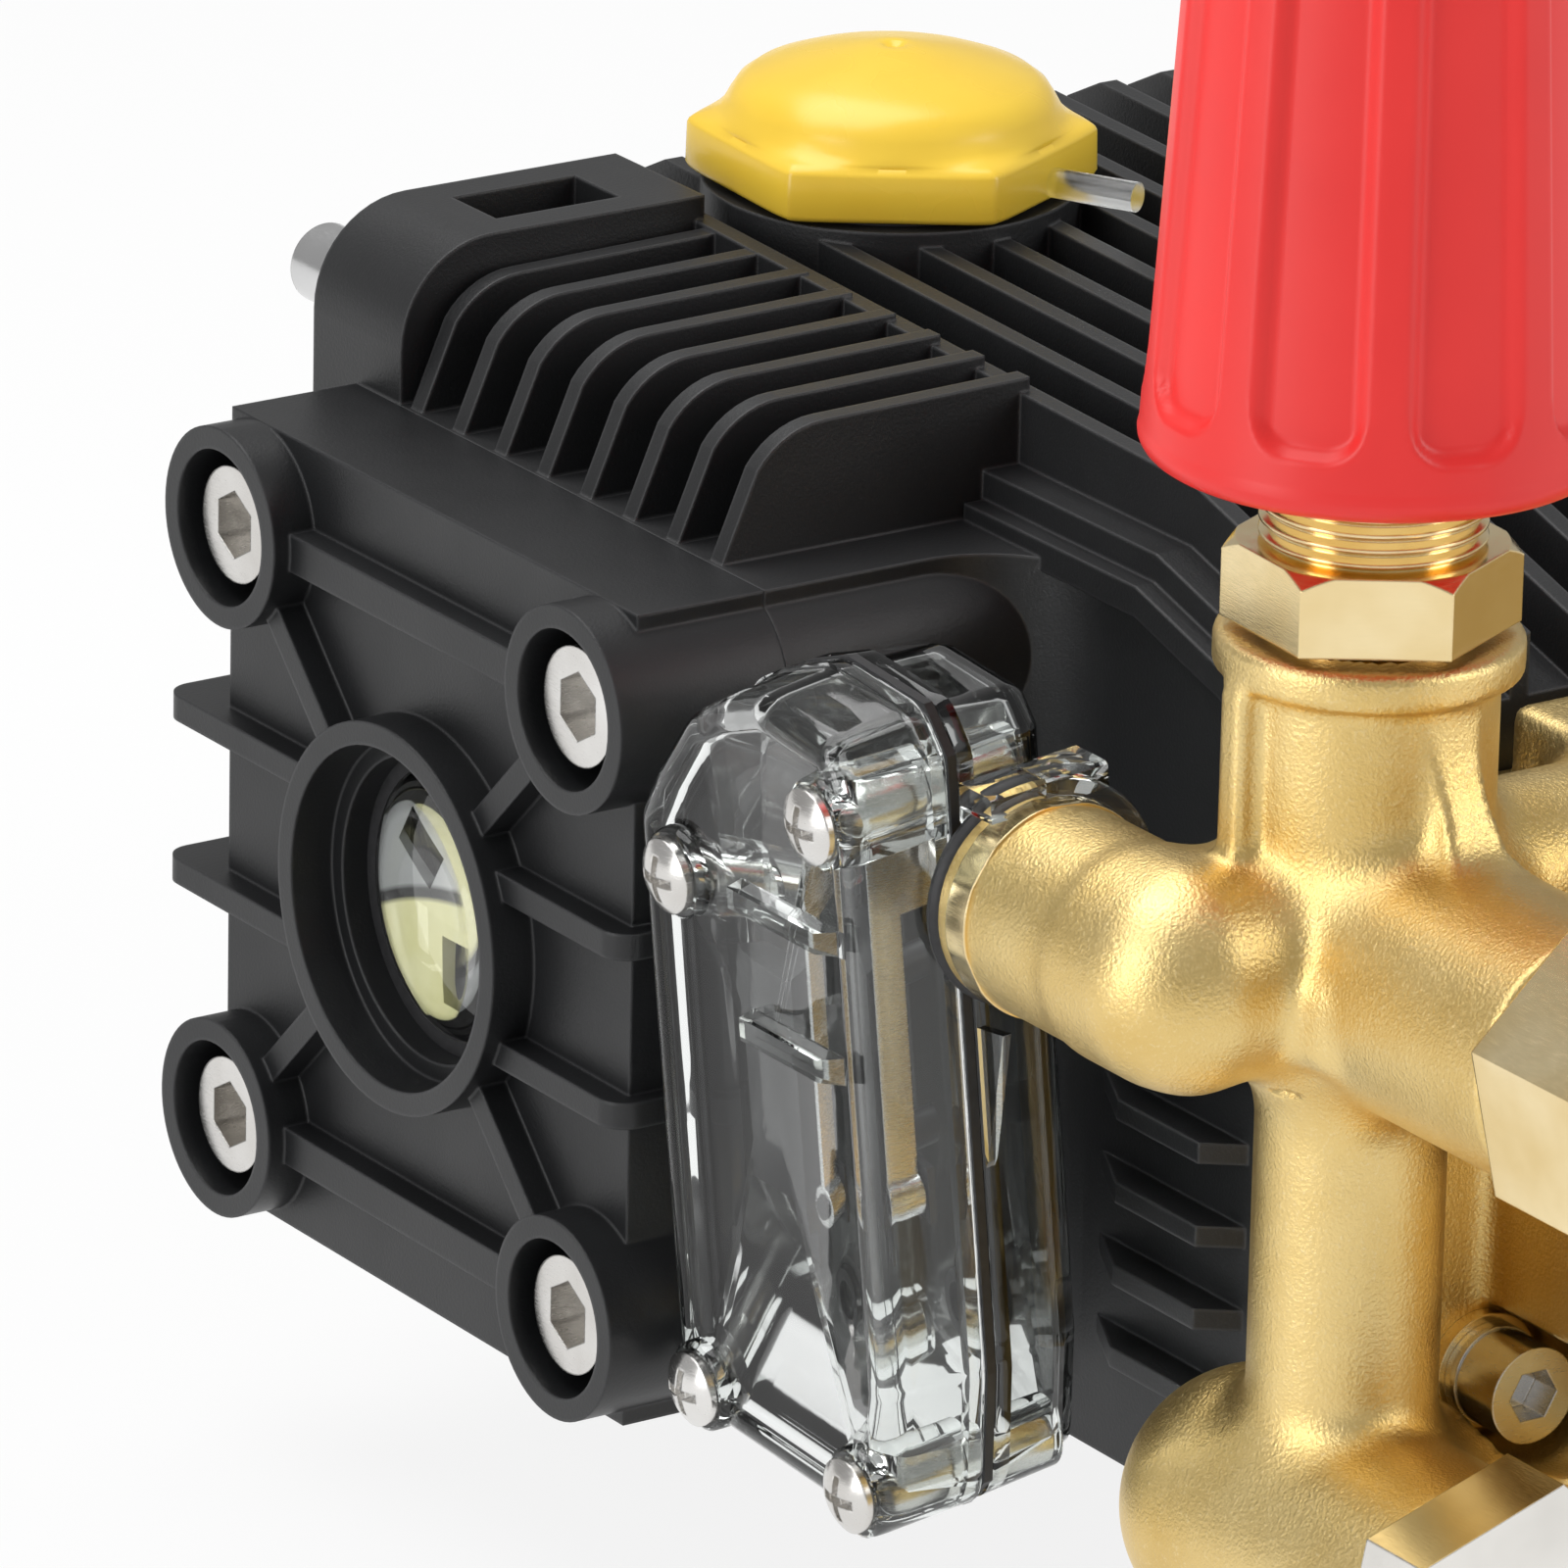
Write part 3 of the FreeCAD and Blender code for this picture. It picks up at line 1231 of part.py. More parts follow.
def solids_by_name():
    parts = {
        "crankcase": make_crankcase(),
        "side_cover": make_side_cover(),
        "cover_screws": make_cover_screws(),
        "sight_glass": make_sight_glass(),
        "sight_seal": make_sight_seal(),
        "sight_reflector": make_sight_reflector(),
        "crankshaft": make_crankshaft(),
        "cover_bearing": make_bearing(cover_bearing_x(), cover_bearing_width, cover_bearing_radius,
                                      journal_radius),
        "drive_bearing": make_bearing(drive_bearing_x(), drive_bearing_width, drive_bearing_radius,
                                      drive_journal_radius),
        "drive_flange": make_drive_flange(),
        "flange_screws": make_flange_screws(),
        "shaft_seal": make_shaft_seal(),
        "oil_seals": plunger_rings(guide_bore_end_y - oil_seal_width, guide_bore_end_y),
        "seal_spacers": plunger_rings(case_front_y - spacer_width, case_front_y),
        "water_seals": plunger_rings(case_front_y - spacer_width - water_seal_width,
                                     case_front_y - spacer_width),
        "head": make_head(),
        "head_bolts": make_head_bolts(),
        "flat_washers": make_washers(0.0, washer_radius),
        "spring_washers": make_washers(washer_thickness, washer_radius - 0.8),
        "valve_caps": make_valve_caps(),
        "valve_seats": make_valve_seats(),
        "regulator_nut": make_regulator_nut(),
        "regulator_knob": make_knob(),
        "knob_insert": make_knob_insert(),
        "spring_seat": make_spring_seat(),
        "regulator_spring": make_regulator_spring(),
        "regulator_piston": make_regulator_piston(),
        "outlet_fitting": make_outlet_fitting(),
        "inlet_fitting": make_inlet_fitting(),
        "oil_cap": make_oil_cap(),
        "oil_cap_ring": make_cap_ring(),
        "breather_tube": breather(breather_radius),
        "rear_pin": make_rear_pin(),
        "switch_lid": make_box_lid(),
        "switch_gasket": make_box_gasket(),
        "switch_base": make_box_base(),
        "lid_screws": make_lid_screws(),
        "microswitch": make_microswitch(),
        "switch_button": make_switch_button(),
        "switch_lever": make_switch_lever(),
        "switch_piston": make_switch_piston(),
        "cable_gland": make_cable_gland(),
    }
    for index in range(3):
        number = str(index + 1)
        parts["conrod_" + number] = make_conrod(index)
        parts["guide_" + number] = make_guide(index)
        parts["wrist_pin_" + number] = make_wrist_pin(index)
        parts["plunger_" + number] = make_plunger(index)
        parts["delivery_valve_" + number] = make_poppet(index, True)
        parts["suction_valve_" + number] = make_poppet(index, False)
    return parts


os.makedirs("parts", exist_ok=True)
for name, shape in solids_by_name().items():
    if not shape.isValid():
        print("not valid:", name)
    print(name, "solids", len(shape.Solids), "volume", round(shape.Volume, 1))
    shape.exportStep("parts/" + name + ".step")
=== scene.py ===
import json
import math

import bmesh
import bpy
import numpy as np
from mathutils import Matrix, Vector


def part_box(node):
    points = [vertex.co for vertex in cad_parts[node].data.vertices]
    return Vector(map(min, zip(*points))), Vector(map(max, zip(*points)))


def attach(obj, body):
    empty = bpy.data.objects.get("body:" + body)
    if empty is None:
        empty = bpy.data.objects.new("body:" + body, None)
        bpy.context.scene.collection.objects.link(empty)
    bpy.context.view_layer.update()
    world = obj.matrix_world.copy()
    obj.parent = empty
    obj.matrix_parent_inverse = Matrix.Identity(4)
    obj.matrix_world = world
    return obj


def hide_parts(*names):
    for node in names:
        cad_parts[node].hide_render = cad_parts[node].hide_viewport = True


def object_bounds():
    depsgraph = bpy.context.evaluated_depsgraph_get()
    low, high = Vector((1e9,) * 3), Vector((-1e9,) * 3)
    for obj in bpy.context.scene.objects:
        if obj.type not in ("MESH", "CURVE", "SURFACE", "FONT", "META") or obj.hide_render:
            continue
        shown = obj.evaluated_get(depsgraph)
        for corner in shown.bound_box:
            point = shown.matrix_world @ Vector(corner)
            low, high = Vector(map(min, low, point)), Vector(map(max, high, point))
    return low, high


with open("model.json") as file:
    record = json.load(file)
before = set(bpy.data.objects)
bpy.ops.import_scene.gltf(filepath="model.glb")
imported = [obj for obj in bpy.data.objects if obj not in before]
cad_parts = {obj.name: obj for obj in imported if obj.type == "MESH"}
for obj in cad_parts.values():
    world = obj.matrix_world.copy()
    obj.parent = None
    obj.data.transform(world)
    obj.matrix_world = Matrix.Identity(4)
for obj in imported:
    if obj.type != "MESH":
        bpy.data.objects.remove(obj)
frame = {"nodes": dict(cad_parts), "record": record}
cad_low, cad_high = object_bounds()
nodes = frame["nodes"]
MM = 0.001


# Node helpers for the materials

class Shade:
    """A material's node tree with short calls for the nodes used here."""

    def __init__(self, name):
        self.material = bpy.data.materials.new(name)
        self.material.use_nodes = True
        self.tree = self.material.node_tree
        self.shader = self.tree.nodes["Principled BSDF"]
        self.coords = self.tree.nodes.new("ShaderNodeTexCoord").outputs["Object"]

    def link(self, source, target):
        self.tree.links.new(source, target)

    def noise(self, scale, detail=4.0, rough=0.55):
        node = self.tree.nodes.new("ShaderNodeTexNoise")
        node.inputs["Scale"].default_value = scale
        node.inputs["Detail"].default_value = detail
        node.inputs["Roughness"].default_value = rough
        self.link(self.coords, node.inputs["Vector"])
        return node.outputs["Fac"]

    def cells(self, scale):
        node = self.tree.nodes.new("ShaderNodeTexVoronoi")
        node.inputs["Scale"].default_value = scale
        self.link(self.coords, node.inputs["Vector"])
        return node

    def ramp(self, source, low, high, out_low=0.0, out_high=1.0):
        node = self.tree.nodes.new("ShaderNodeMapRange")
        node.inputs["From Min"].default_value = low
        node.inputs["From Max"].default_value = high
        node.inputs["To Min"].default_value = out_low
        node.inputs["To Max"].default_value = out_high
        self.link(source, node.inputs["Value"])
        return node.outputs["Result"]

    def math(self, kind, first, second):
        node = self.tree.nodes.new("ShaderNodeMath")
        node.operation = kind
        for socket, value in zip(node.inputs, (first, second)):
            if isinstance(value, (int, float)):
                socket.default_value = value
            else:
                self.link(value, socket)
        return node.outputs[0]

    def mix(self, factor, first, second):
        node = self.tree.nodes.new("ShaderNodeMix")
        node.data_type = "RGBA"
        for socket, value in ((node.inputs[0], factor), (node.inputs[6], first), (node.inputs[7], second)):
            if isinstance(value, (int, float)):
                socket.default_value = value
            elif isinstance(value, (tuple, list)):
                socket.default_value = (*value, 1.0)
            else:
                self.link(value, socket)
        return node.outputs[2]

    def edges(self, radius):
        """Bright where the surface turns sharply."""
        bevel = self.tree.nodes.new("ShaderNodeBevel")
        bevel.samples = 4
        bevel.inputs["Radius"].default_value = radius
        geometry = self.tree.nodes.new("ShaderNodeNewGeometry")
        dot = self.tree.nodes.new("ShaderNodeVectorMath")
        dot.operation = "DOT_PRODUCT"
        self.link(bevel.outputs[0], dot.inputs[0])
        self.link(geometry.outputs["Normal"], dot.inputs[1])
        return self.ramp(dot.outputs["Value"], 0.99, 0.8)

    def bump(self, height, strength, distance, round_edges=0.0):
        node = self.tree.nodes.new("ShaderNodeBump")
        node.inputs["Strength"].default_value = strength
        node.inputs["Distance"].default_value = distance
        self.link(height, node.inputs["Height"])
        if round_edges:
            bevel = self.tree.nodes.new("ShaderNodeBevel")
            bevel.samples = 6
            bevel.inputs["Radius"].default_value = round_edges
            self.link(bevel.outputs[0], node.inputs["Normal"])
        self.link(node.outputs[0], self.shader.inputs["Normal"])

    def set(self, **values):
        for name, value in values.items():
            socket = self.shader.inputs[name.replace("_", " ")]
            if isinstance(value, (tuple, list)):
                socket.default_value = (*value, 1.0)
            else:
                socket.default_value = value


def black_casting(name, base, glaze, grain, roughness):
    # Satin black paint over a die casting: fine grain, dusty light patches and rubbed edges.
    s = Shade(name)
    cloud = s.noise(38.0, 3.0)
    fine = s.noise(2600.0, 2.0, 0.7)
    edge = s.edges(0.0007)
    colour = s.mix(s.ramp(cloud, 0.35, 0.7), tuple(v * 0.85 for v in base), base)
    colour = s.mix(s.math("MULTIPLY", edge, 0.35), colour, glaze)
    speck = s.ramp(s.noise(4200.0, 1.0), 0.66, 0.74)
    colour = s.mix(s.math("MULTIPLY", speck, 0.10), colour, glaze)
    s.link(colour, s.shader.inputs["Base Color"])
    s.link(s.ramp(cloud, 0.3, 0.7, roughness - 0.05, roughness + 0.07), s.shader.inputs["Roughness"])
    s.bump(fine, grain, 0.00012, 0.0005)
    return s.material


def cast_brass():
    # Sand-cast brass, tumbled: golden, with a granular sparkle and darker hollows.
    s = Shade("cast_brass")
    cloud = s.noise(55.0, 4.0)
    grain = s.noise(2300.0, 3.0, 0.65)
    spark = s.cells(2600.0)
    colour = s.mix(s.ramp(cloud, 0.3, 0.7), (0.72, 0.50, 0.17), (0.86, 0.66, 0.30))
    colour = s.mix(s.ramp(grain, 0.55, 0.75, 0.0, 0.45), colour, (0.97, 0.84, 0.52))
    s.link(colour, s.shader.inputs["Base Color"])
    s.set(Metallic=1.0)
    s.link(s.ramp(grain, 0.3, 0.7, 0.30, 0.46), s.shader.inputs["Roughness"])
    height = s.math("ADD", grain, s.math("MULTIPLY", spark.outputs["Distance"], 0.35))
    s.bump(height, 0.42, 0.00022)
    return s.material


def machined(name, low, high, roughness, scale, metallic=1.0):
    # Turned or milled metal: fine streaks across the light with slight stains.
    s = Shade(name)
    stretch = s.tree.nodes.new("ShaderNodeMapping")
    stretch.inputs["Scale"].default_value = (1.0, 1.0, 12.0)
    s.link(s.coords, stretch.inputs["Vector"])
    streak = s.tree.nodes.new("ShaderNodeTexNoise")
    streak.inputs["Scale"].default_value = scale
    streak.inputs["Detail"].default_value = 3.0
    s.link(stretch.outputs["Vector"], streak.inputs["Vector"])
    cloud = s.noise(70.0, 3.0)
    colour = s.mix(s.ramp(cloud, 0.3, 0.7), low, high)
    s.link(colour, s.shader.inputs["Base Color"])
    s.set(Metallic=metallic)
    s.link(s.ramp(streak.outputs["Fac"], 0.3, 0.7, roughness * 0.75, roughness * 1.3),
           s.shader.inputs["Roughness"])
    s.bump(streak.outputs["Fac"], 0.12, 0.00006, 0.0003)
    return s.material


def moulded(name, low, high, roughness, grain=0.06, coat=0.0):
    # Injection moulded plastic with a light orange peel and faint handling marks.
    s = Shade(name)
    cloud = s.noise(45.0, 3.0)
    peel = s.noise(420.0, 2.0)
    s.link(s.mix(s.ramp(cloud, 0.3, 0.7), low, high), s.shader.inputs["Base Color"])
    s.link(s.ramp(cloud, 0.3, 0.7, roughness - 0.03, roughness + 0.05), s.shader.inputs["Roughness"])
    if coat:
        s.set(Coat_Weight=coat, Coat_Roughness=0.12)
    s.bump(peel, grain, 0.00015)
    return s.material


def rubber(name, base, roughness=0.55):
    s = Shade(name)
    fine = s.noise(900.0, 3.0)
    s.link(s.mix(s.ramp(fine, 0.3, 0.7), base, tuple(v * 1.8 for v in base)), s.shader.inputs["Base Color"])
    s.link(s.ramp(s.noise(120.0), 0.3, 0.7, roughness - 0.08, roughness + 0.08),
           s.shader.inputs["Roughness"])
    s.bump(fine, 0.15, 0.00008)
    return s.material


def clear(name, tint, roughness, grain):
    # Clear moulding with faint flow marks.
    s = Shade(name)
    flow = s.noise(60.0, 3.0)
    s.link(s.mix(s.ramp(flow, 0.3, 0.7), tint, tuple(min(1.0, v * 1.03) for v in tint)),
           s.shader.inputs["Base Color"])
    s.link(s.ramp(flow, 0.3, 0.7, roughness, roughness + 0.03), s.shader.inputs["Roughness"])
    s.set(Transmission_Weight=1.0, IOR=1.45)
    s.bump(s.noise(180.0, 2.0), grain, 0.0002)
    # Light reaches what lies behind the clear wall.
    path = s.tree.nodes.new("ShaderNodeLightPath")
    through = s.tree.nodes.new("ShaderNodeBsdfTransparent")
    through.inputs["Color"].default_value = (0.93, 0.94, 0.94, 1.0)
    mixer = s.tree.nodes.new("ShaderNodeMixShader")
    s.link(path.outputs["Is Shadow Ray"], mixer.inputs[0])
    s.link(s.shader.outputs[0], mixer.inputs[1])
    s.link(through.outputs[0], mixer.inputs[2])
    s.link(mixer.outputs[0], s.tree.nodes["Material Output"].inputs["Surface"])
    return s.material


def sight_back():
    # What the round window shows: oil below a near-black band of painted shade at the meniscus, the pale
    # reflector above with painted shade towards +Y, a red mark at the level.
    s = Shade("sight_back")
    parts = s.tree.nodes.new("ShaderNodeSeparateXYZ")
    s.link(s.coords, parts.inputs[0])
    y, z = parts.outputs["Y"], parts.outputs["Z"]
    bend = s.math("MULTIPLY", s.math("MULTIPLY", y, y), 14.0)
    level = s.math("SUBTRACT", s.math("ADD", z, bend), s.math("MULTIPLY", y, -0.12))
    oil = s.mix(s.ramp(s.noise(160.0), 0.3, 0.7), (0.62, 0.60, 0.30), (0.72, 0.70, 0.42))
    # Painted shade: the reflector above the oil runs from pale at -Y to grey at +Y.
    reflector_painted_shade = s.mix(s.ramp(y, -0.010, 0.006), (0.86, 0.86, 0.84), (0.30, 0.31, 0.31))
    # Painted shade: a near-black band at the oil level stands for the meniscus.
    colour = s.mix(s.ramp(level, -0.0004, 0.0002), oil, (0.02, 0.02, 0.02))
    colour = s.mix(s.ramp(level, 0.0010, 0.0016), colour, reflector_painted_shade)
    away = s.math("ADD", s.math("POWER", s.math("ADD", y, 0.0095), 2.0),
                  s.math("POWER", s.math("SUBTRACT", z, 0.0045), 2.0))
    colour = s.mix(s.ramp(away, 0.0000042, 0.0000030), colour, (0.75, 0.02, 0.02))
    s.link(colour, s.shader.inputs["Base Color"])
    s.link(s.ramp(s.noise(90.0), 0.3, 0.7, 0.14, 0.24), s.shader.inputs["Roughness"])
    s.bump(s.noise(400.0, 2.0), 0.05, 0.0001)
    return s.material


finishes = {
    "case_black": black_casting("case_black", (0.0125, 0.013, 0.014), (0.11, 0.11, 0.115), 0.35, 0.46),
    "cover_black": black_casting("cover_black", (0.009, 0.0095, 0.0105), (0.07, 0.07, 0.075), 0.25, 0.42),
    "stainless": machined("stainless", (0.62, 0.60, 0.57), (0.80, 0.79, 0.77), 0.22, 900.0),
    "forged_steel": machined("forged_steel", (0.38, 0.38, 0.39), (0.5, 0.5, 0.5), 0.35, 500.0),
    "bearing_steel": machined("bearing_steel", (0.6, 0.6, 0.6), (0.72, 0.72, 0.72), 0.2, 900.0),
    "spring_steel": machined("spring_steel", (0.55, 0.55, 0.55), (0.7, 0.7, 0.7), 0.25, 800.0),
    "cast_brass": cast_brass(),
    "machined_brass": machined("machined_brass", (0.80, 0.60, 0.28), (0.93, 0.77, 0.46), 0.18, 700.0),
    "plated_brass": machined("plated_brass", (0.70, 0.68, 0.64), (0.84, 0.82, 0.78), 0.14, 900.0),
    "rod_alloy": machined("rod_alloy", (0.6, 0.6, 0.61), (0.72, 0.72, 0.73), 0.35, 400.0),
    "ceramic_white": moulded("ceramic_white", (0.86, 0.86, 0.83), (0.92, 0.92, 0.90), 0.12, 0.02),
    "rubber_black": rubber("rubber_black", (0.012, 0.012, 0.013)),
    "red_plastic": moulded("red_plastic", (0.80, 0.022, 0.020), (0.86, 0.030, 0.026), 0.38, 0.04),
    "yellow_plastic": moulded("yellow_plastic", (0.86, 0.56, 0.045), (0.92, 0.64, 0.06), 0.26, 0.05),
    "clear_tube": clear("clear_tube", (0.90, 0.91, 0.90), 0.25, 0.05),
    "clear_plastic": clear("clear_plastic", (0.93, 0.95, 0.94), 0.02, 0.02),
    "clear_glass": clear("clear_glass", (0.97, 0.98, 0.97), 0.01, 0.01),
    "reflector_white": moulded("reflector_white", (0.84, 0.84, 0.80), (0.90, 0.90, 0.86), 0.25, 0.03),
    "sight_back": sight_back(),
    "switch_dark": moulded("switch_dark", (0.012, 0.012, 0.013), (0.025, 0.025, 0.027), 0.4),
    "switch_pale": moulded("switch_pale", (0.80, 0.80, 0.76), (0.88, 0.88, 0.85), 0.35),
}


def smooth_by_angle(obj, degrees):
    mesh = obj.data
    mesh.shade_smooth()
    mesh.set_sharp_from_angle(angle=math.radians(degrees))


for part in frame["record"]["subparts"]:
    node = nodes[part["node"]]
    node.data.materials.clear()
    node.data.materials.append(finishes[part["material_slot"]])
    smooth_by_angle(node, 28.0)
nodes["side_cover"].data.materials[0] = finishes["cover_black"]
nodes["sight_reflector"].data.materials[0] = finishes["sight_back"]


# Mesh helpers

def new_piece(name, mesh, material, body, *replaced, slot=None, sharp=None):
    piece = bpy.data.objects.new(name, mesh)
    bpy.context.scene.collection.objects.link(piece)
    mesh.materials.append(finishes[material])
    mesh.shade_smooth()
    if sharp:
        mesh.set_sharp_from_angle(angle=math.radians(sharp))
    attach(piece, body)
    if replaced:
        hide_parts(*replaced)
    return piece


def grid_mesh(name, rings, closed_ends=True):
    """A skin over rings of points, each ring closed on itself, with the ends filled to a middle point."""
    rows = [np.asarray(ring, float) for ring in rings]
    count = len(rows[0])
    points = np.concatenate(rows)
    faces = []
    for row in range(len(rows) - 1):
        for step in range(count):
            after = (step + 1) % count
            faces.append((row * count + step, row * count + after,
                          (row + 1) * count + after, (row + 1) * count + step))
    if closed_ends:
        low, high = len(points), len(points) + 1
        points = np.concatenate([points, [rows[0].mean(0)], [rows[-1].mean(0)]])
        last = (len(rows) - 1) * count
        for step in range(count):
            after = (step + 1) % count
            faces.append((low, after, step))
            faces.append((high, last + step, last + after))
    mesh = bpy.data.meshes.new(name)
    mesh.from_pydata(points.tolist(), [], faces)
    bm = bmesh.new()
    bm.from_mesh(mesh)
    bmesh.ops.recalc_face_normals(bm, faces=bm.faces)
    bm.to_mesh(mesh)
    bm.free()
    mesh.update()
    return mesh


def smoothstep(low, high, value):
    t = np.clip((value - low) / (high - low), 0.0, 1.0)
    return t * t * (3.0 - 2.0 * t)


# Regulator knob: a tapered grip with nine flutes that end in round hollows above the skirt

def make_knob_piece():
    low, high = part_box("regulator_knob")
    x, y = (low.x + high.x) / 2, (low.y + high.y) / 2
    bottom, top = low.z, high.z
    foot, crown = 0.0228, 0.0186
    turns = np.linspace(0.0, 2 * math.pi, 361)[:-1]
    land = math.radians(-34.151 - 90.0)
    rings = []
    inner = 0.0141
    for radius in (inner, foot - 0.004):
        rings.append((radius, bottom, 0.0))
    for angle in np.linspace(-90, 0, 8):
        a = math.radians(angle)
        rings.append((foot - 0.0022 + 0.0022 * math.cos(a), bottom + 0.0022 + 0.0022 * math.sin(a), 0.0))
    levels = np.concatenate([np.linspace(0.0030, 0.0140, 30), np.linspace(0.015, 0.066, 40)])
    for level in levels:
        radius = foot + (crown - foot) * level / (top - bottom)
        rings.append((radius, bottom + level, 1.0))
    for angle in np.linspace(8, 90, 9):
        a = math.radians(angle)
        rings.append((crown - 0.0032 + 0.0032 * math.cos(a), top - 0.0034 + 0.0034 * math.sin(a), 1.0))
    rings.append((crown * 0.5, top, 0.3))
    rows = []
    for radius, z, fluted in rings:
        rise = z - bottom
        # Round hollow ends: the flute opens from a half circle above the skirt.
        across = np.abs(((turns - land) * 9 / (2 * math.pi)) % 1.0 - 0.5) * 2 * math.pi / 9 * radius
        half, corner = 0.0058 * radius / foot, 0.0042
        inward = np.clip(across - (half - corner), 0.0, corner)
        reach = 0.0055 + corner - np.sqrt(corner ** 2 - inward ** 2)
        opening = smoothstep(0.0, 0.0016, rise - reach)
        flute = smoothstep(half + 0.0005, half - 0.0014, across) * (1.0 - 0.15 * (across / half) ** 2)
        depth = 0.0015 * flute * opening * fluted
        r = radius - depth
        rows.append(np.stack([x + r * np.cos(turns), y + r * np.sin(turns), np.full_like(turns, z)], 1))
    socket = low.z + 0.020
    start = np.stack([x + inner * np.cos(turns), y + inner * np.sin(turns), np.full_like(turns, socket)], 1)
    mesh = grid_mesh("knob_grip", [start] + rows)
    return new_piece("knob_grip", mesh, "red_plastic", "knob", "regulator_knob")


# Oil filler cap: a soft-cornered hexagon that sweeps up into a shallow dome

def hexagon_reach(turns, flats, corner, rotation):
    """Distance from the middle to a hexagon's edge with rounded corners."""
    fold = (turns - rotation + math.pi / 6) % (math.pi / 3) - math.pi / 6
    plain = flats / 2 / np.cos(fold)
    limit = flats / 2 / math.cos(math.pi / 6) - corner
    return -np.log(np.exp(-plain / 0.0006) + np.exp(-limit / 0.0006)) * 0.0006


def make_cap_piece():
    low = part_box("oil_cap")[0]
    x, y = -0.099, 0.030
    turns = np.linspace(0.0, 2 * math.pi, 361)[:-1]
    flats, dome = 0.0384, 0.0177
    base, top = 0.0589, 0.0648
    rotation = math.radians(-4.0)
    hexagon = hexagon_reach(turns, flats, 0.0002, rotation)
    # Each step: height, share of the hexagon against the circle, circle radius, inward shift
    steps = [(base, 1.0, 0.0, 0.0009), (base + 0.0003, 1.0, 0.0, 0.0003), (base + 0.0008, 1.0, 0.0, 0.0),
             (top - 0.0008, 1.0, 0.0, 0.0001), (top - 0.0004, 1.0, 0.0, 0.0003),
             (top, 1.0, 0.0, 0.0009), (top + 0.0002, 0.72, dome + 0.0002, 0.0005),
             (top + 0.0005, 0.34, dome + 0.0001, 0.0), (top + 0.0011, 0.10, dome, 0.0),
             (top + 0.0024, 0.0, dome - 0.0004, 0.0), (top + 0.0038, 0.0, dome - 0.0013, 0.0),
             (top + 0.0049, 0.0, dome - 0.0028, 0.0), (top + 0.0059, 0.0, dome - 0.0055, 0.0),
             (top + 0.0069, 0.0, dome - 0.0090, 0.0), (top + 0.0077, 0.0, dome - 0.0130, 0.0),
             (top + 0.0081, 0.0, 0.0026, 0.0), (top + 0.0082, 0.0, 0.0016, 0.0),
             (top + 0.0081, 0.0, 0.0012, 0.0), (top + 0.0077, 0.0, 0.0007, 0.0),
             (top + 0.0076, 0.0, 0.0003, 0.0)]
    rows = []
    for z, share, circle, shift in steps:
        r = hexagon * share + circle * (1.0 - share) - shift
        rows.append(np.stack([x + r * np.cos(turns), y + r * np.sin(turns), np.full_like(turns, z)], 1))
    stem = [(low.z, 0.0110), (low.z + 0.0006, 0.0116), (base, 0.0116)]
    lower = [np.stack([x + r * np.cos(turns), y + r * np.sin(turns), np.full_like(turns, z)], 1)
             for z, r in stem]
    mesh = grid_mesh("filler_cap", lower + rows)
    return new_piece("filler_cap", mesh, "yellow_plastic", "cap", "oil_cap", sharp=60)


# Brass head: the casting's parts as distances, joined with round fillets like sand-cast metal

def near_rod(points, start, end, radius, rounding=0.0):
    """Signed distance in millimetres to a round bar with flat ends."""
    a, b = np.asarray(start, float), np.asarray(end, float)
    axis = (b - a) / np.linalg.norm(b - a)
    half = np.linalg.norm(b - a) / 2
    rel = points - (a + b) / 2
    along = rel @ axis
    out = np.linalg.norm(rel - along[:, None] * axis, axis=1) - (radius - rounding)
    past = np.abs(along) - (half - rounding)
    return (np.minimum(np.maximum(out, past), 0.0)
            + np.hypot(np.maximum(out, 0.0), np.maximum(past, 0.0)) - rounding)


def near_capsule(points, start, end, radius):
    a, b = np.asarray(start, float), np.asarray(end, float)
    rel = points - a
    span = b - a
    share = np.clip((rel @ span) / (span @ span), 0.0, 1.0)
    return np.linalg.norm(rel - share[:, None] * span, axis=1) - radius


def near_box(points, low, high, rounding=0.0):
    a, b = np.asarray(low, float), np.asarray(high, float)
    q = np.abs(points - (a + b) / 2) - ((b - a) / 2 - rounding)
    return (np.minimum(q.max(1), 0.0) + np.linalg.norm(np.maximum(q, 0.0), axis=1) - rounding)


def blend_in(first, second, size):
    """Union of two distances with a fillet of about that size."""
    h = np.clip(0.5 + 0.5 * (second - first) / size, 0.0, 1.0)
    return second * (1.0 - h) + first * h - size * h * (1.0 - h)


NECK = (-141.5, -114.0)
ARM_Z = 26.5
CAD_BORE_FLOOR = 12.0
BORE_FLOOR = 16.5
PLUNGERS = (-106.0, -74.0, -42.0)


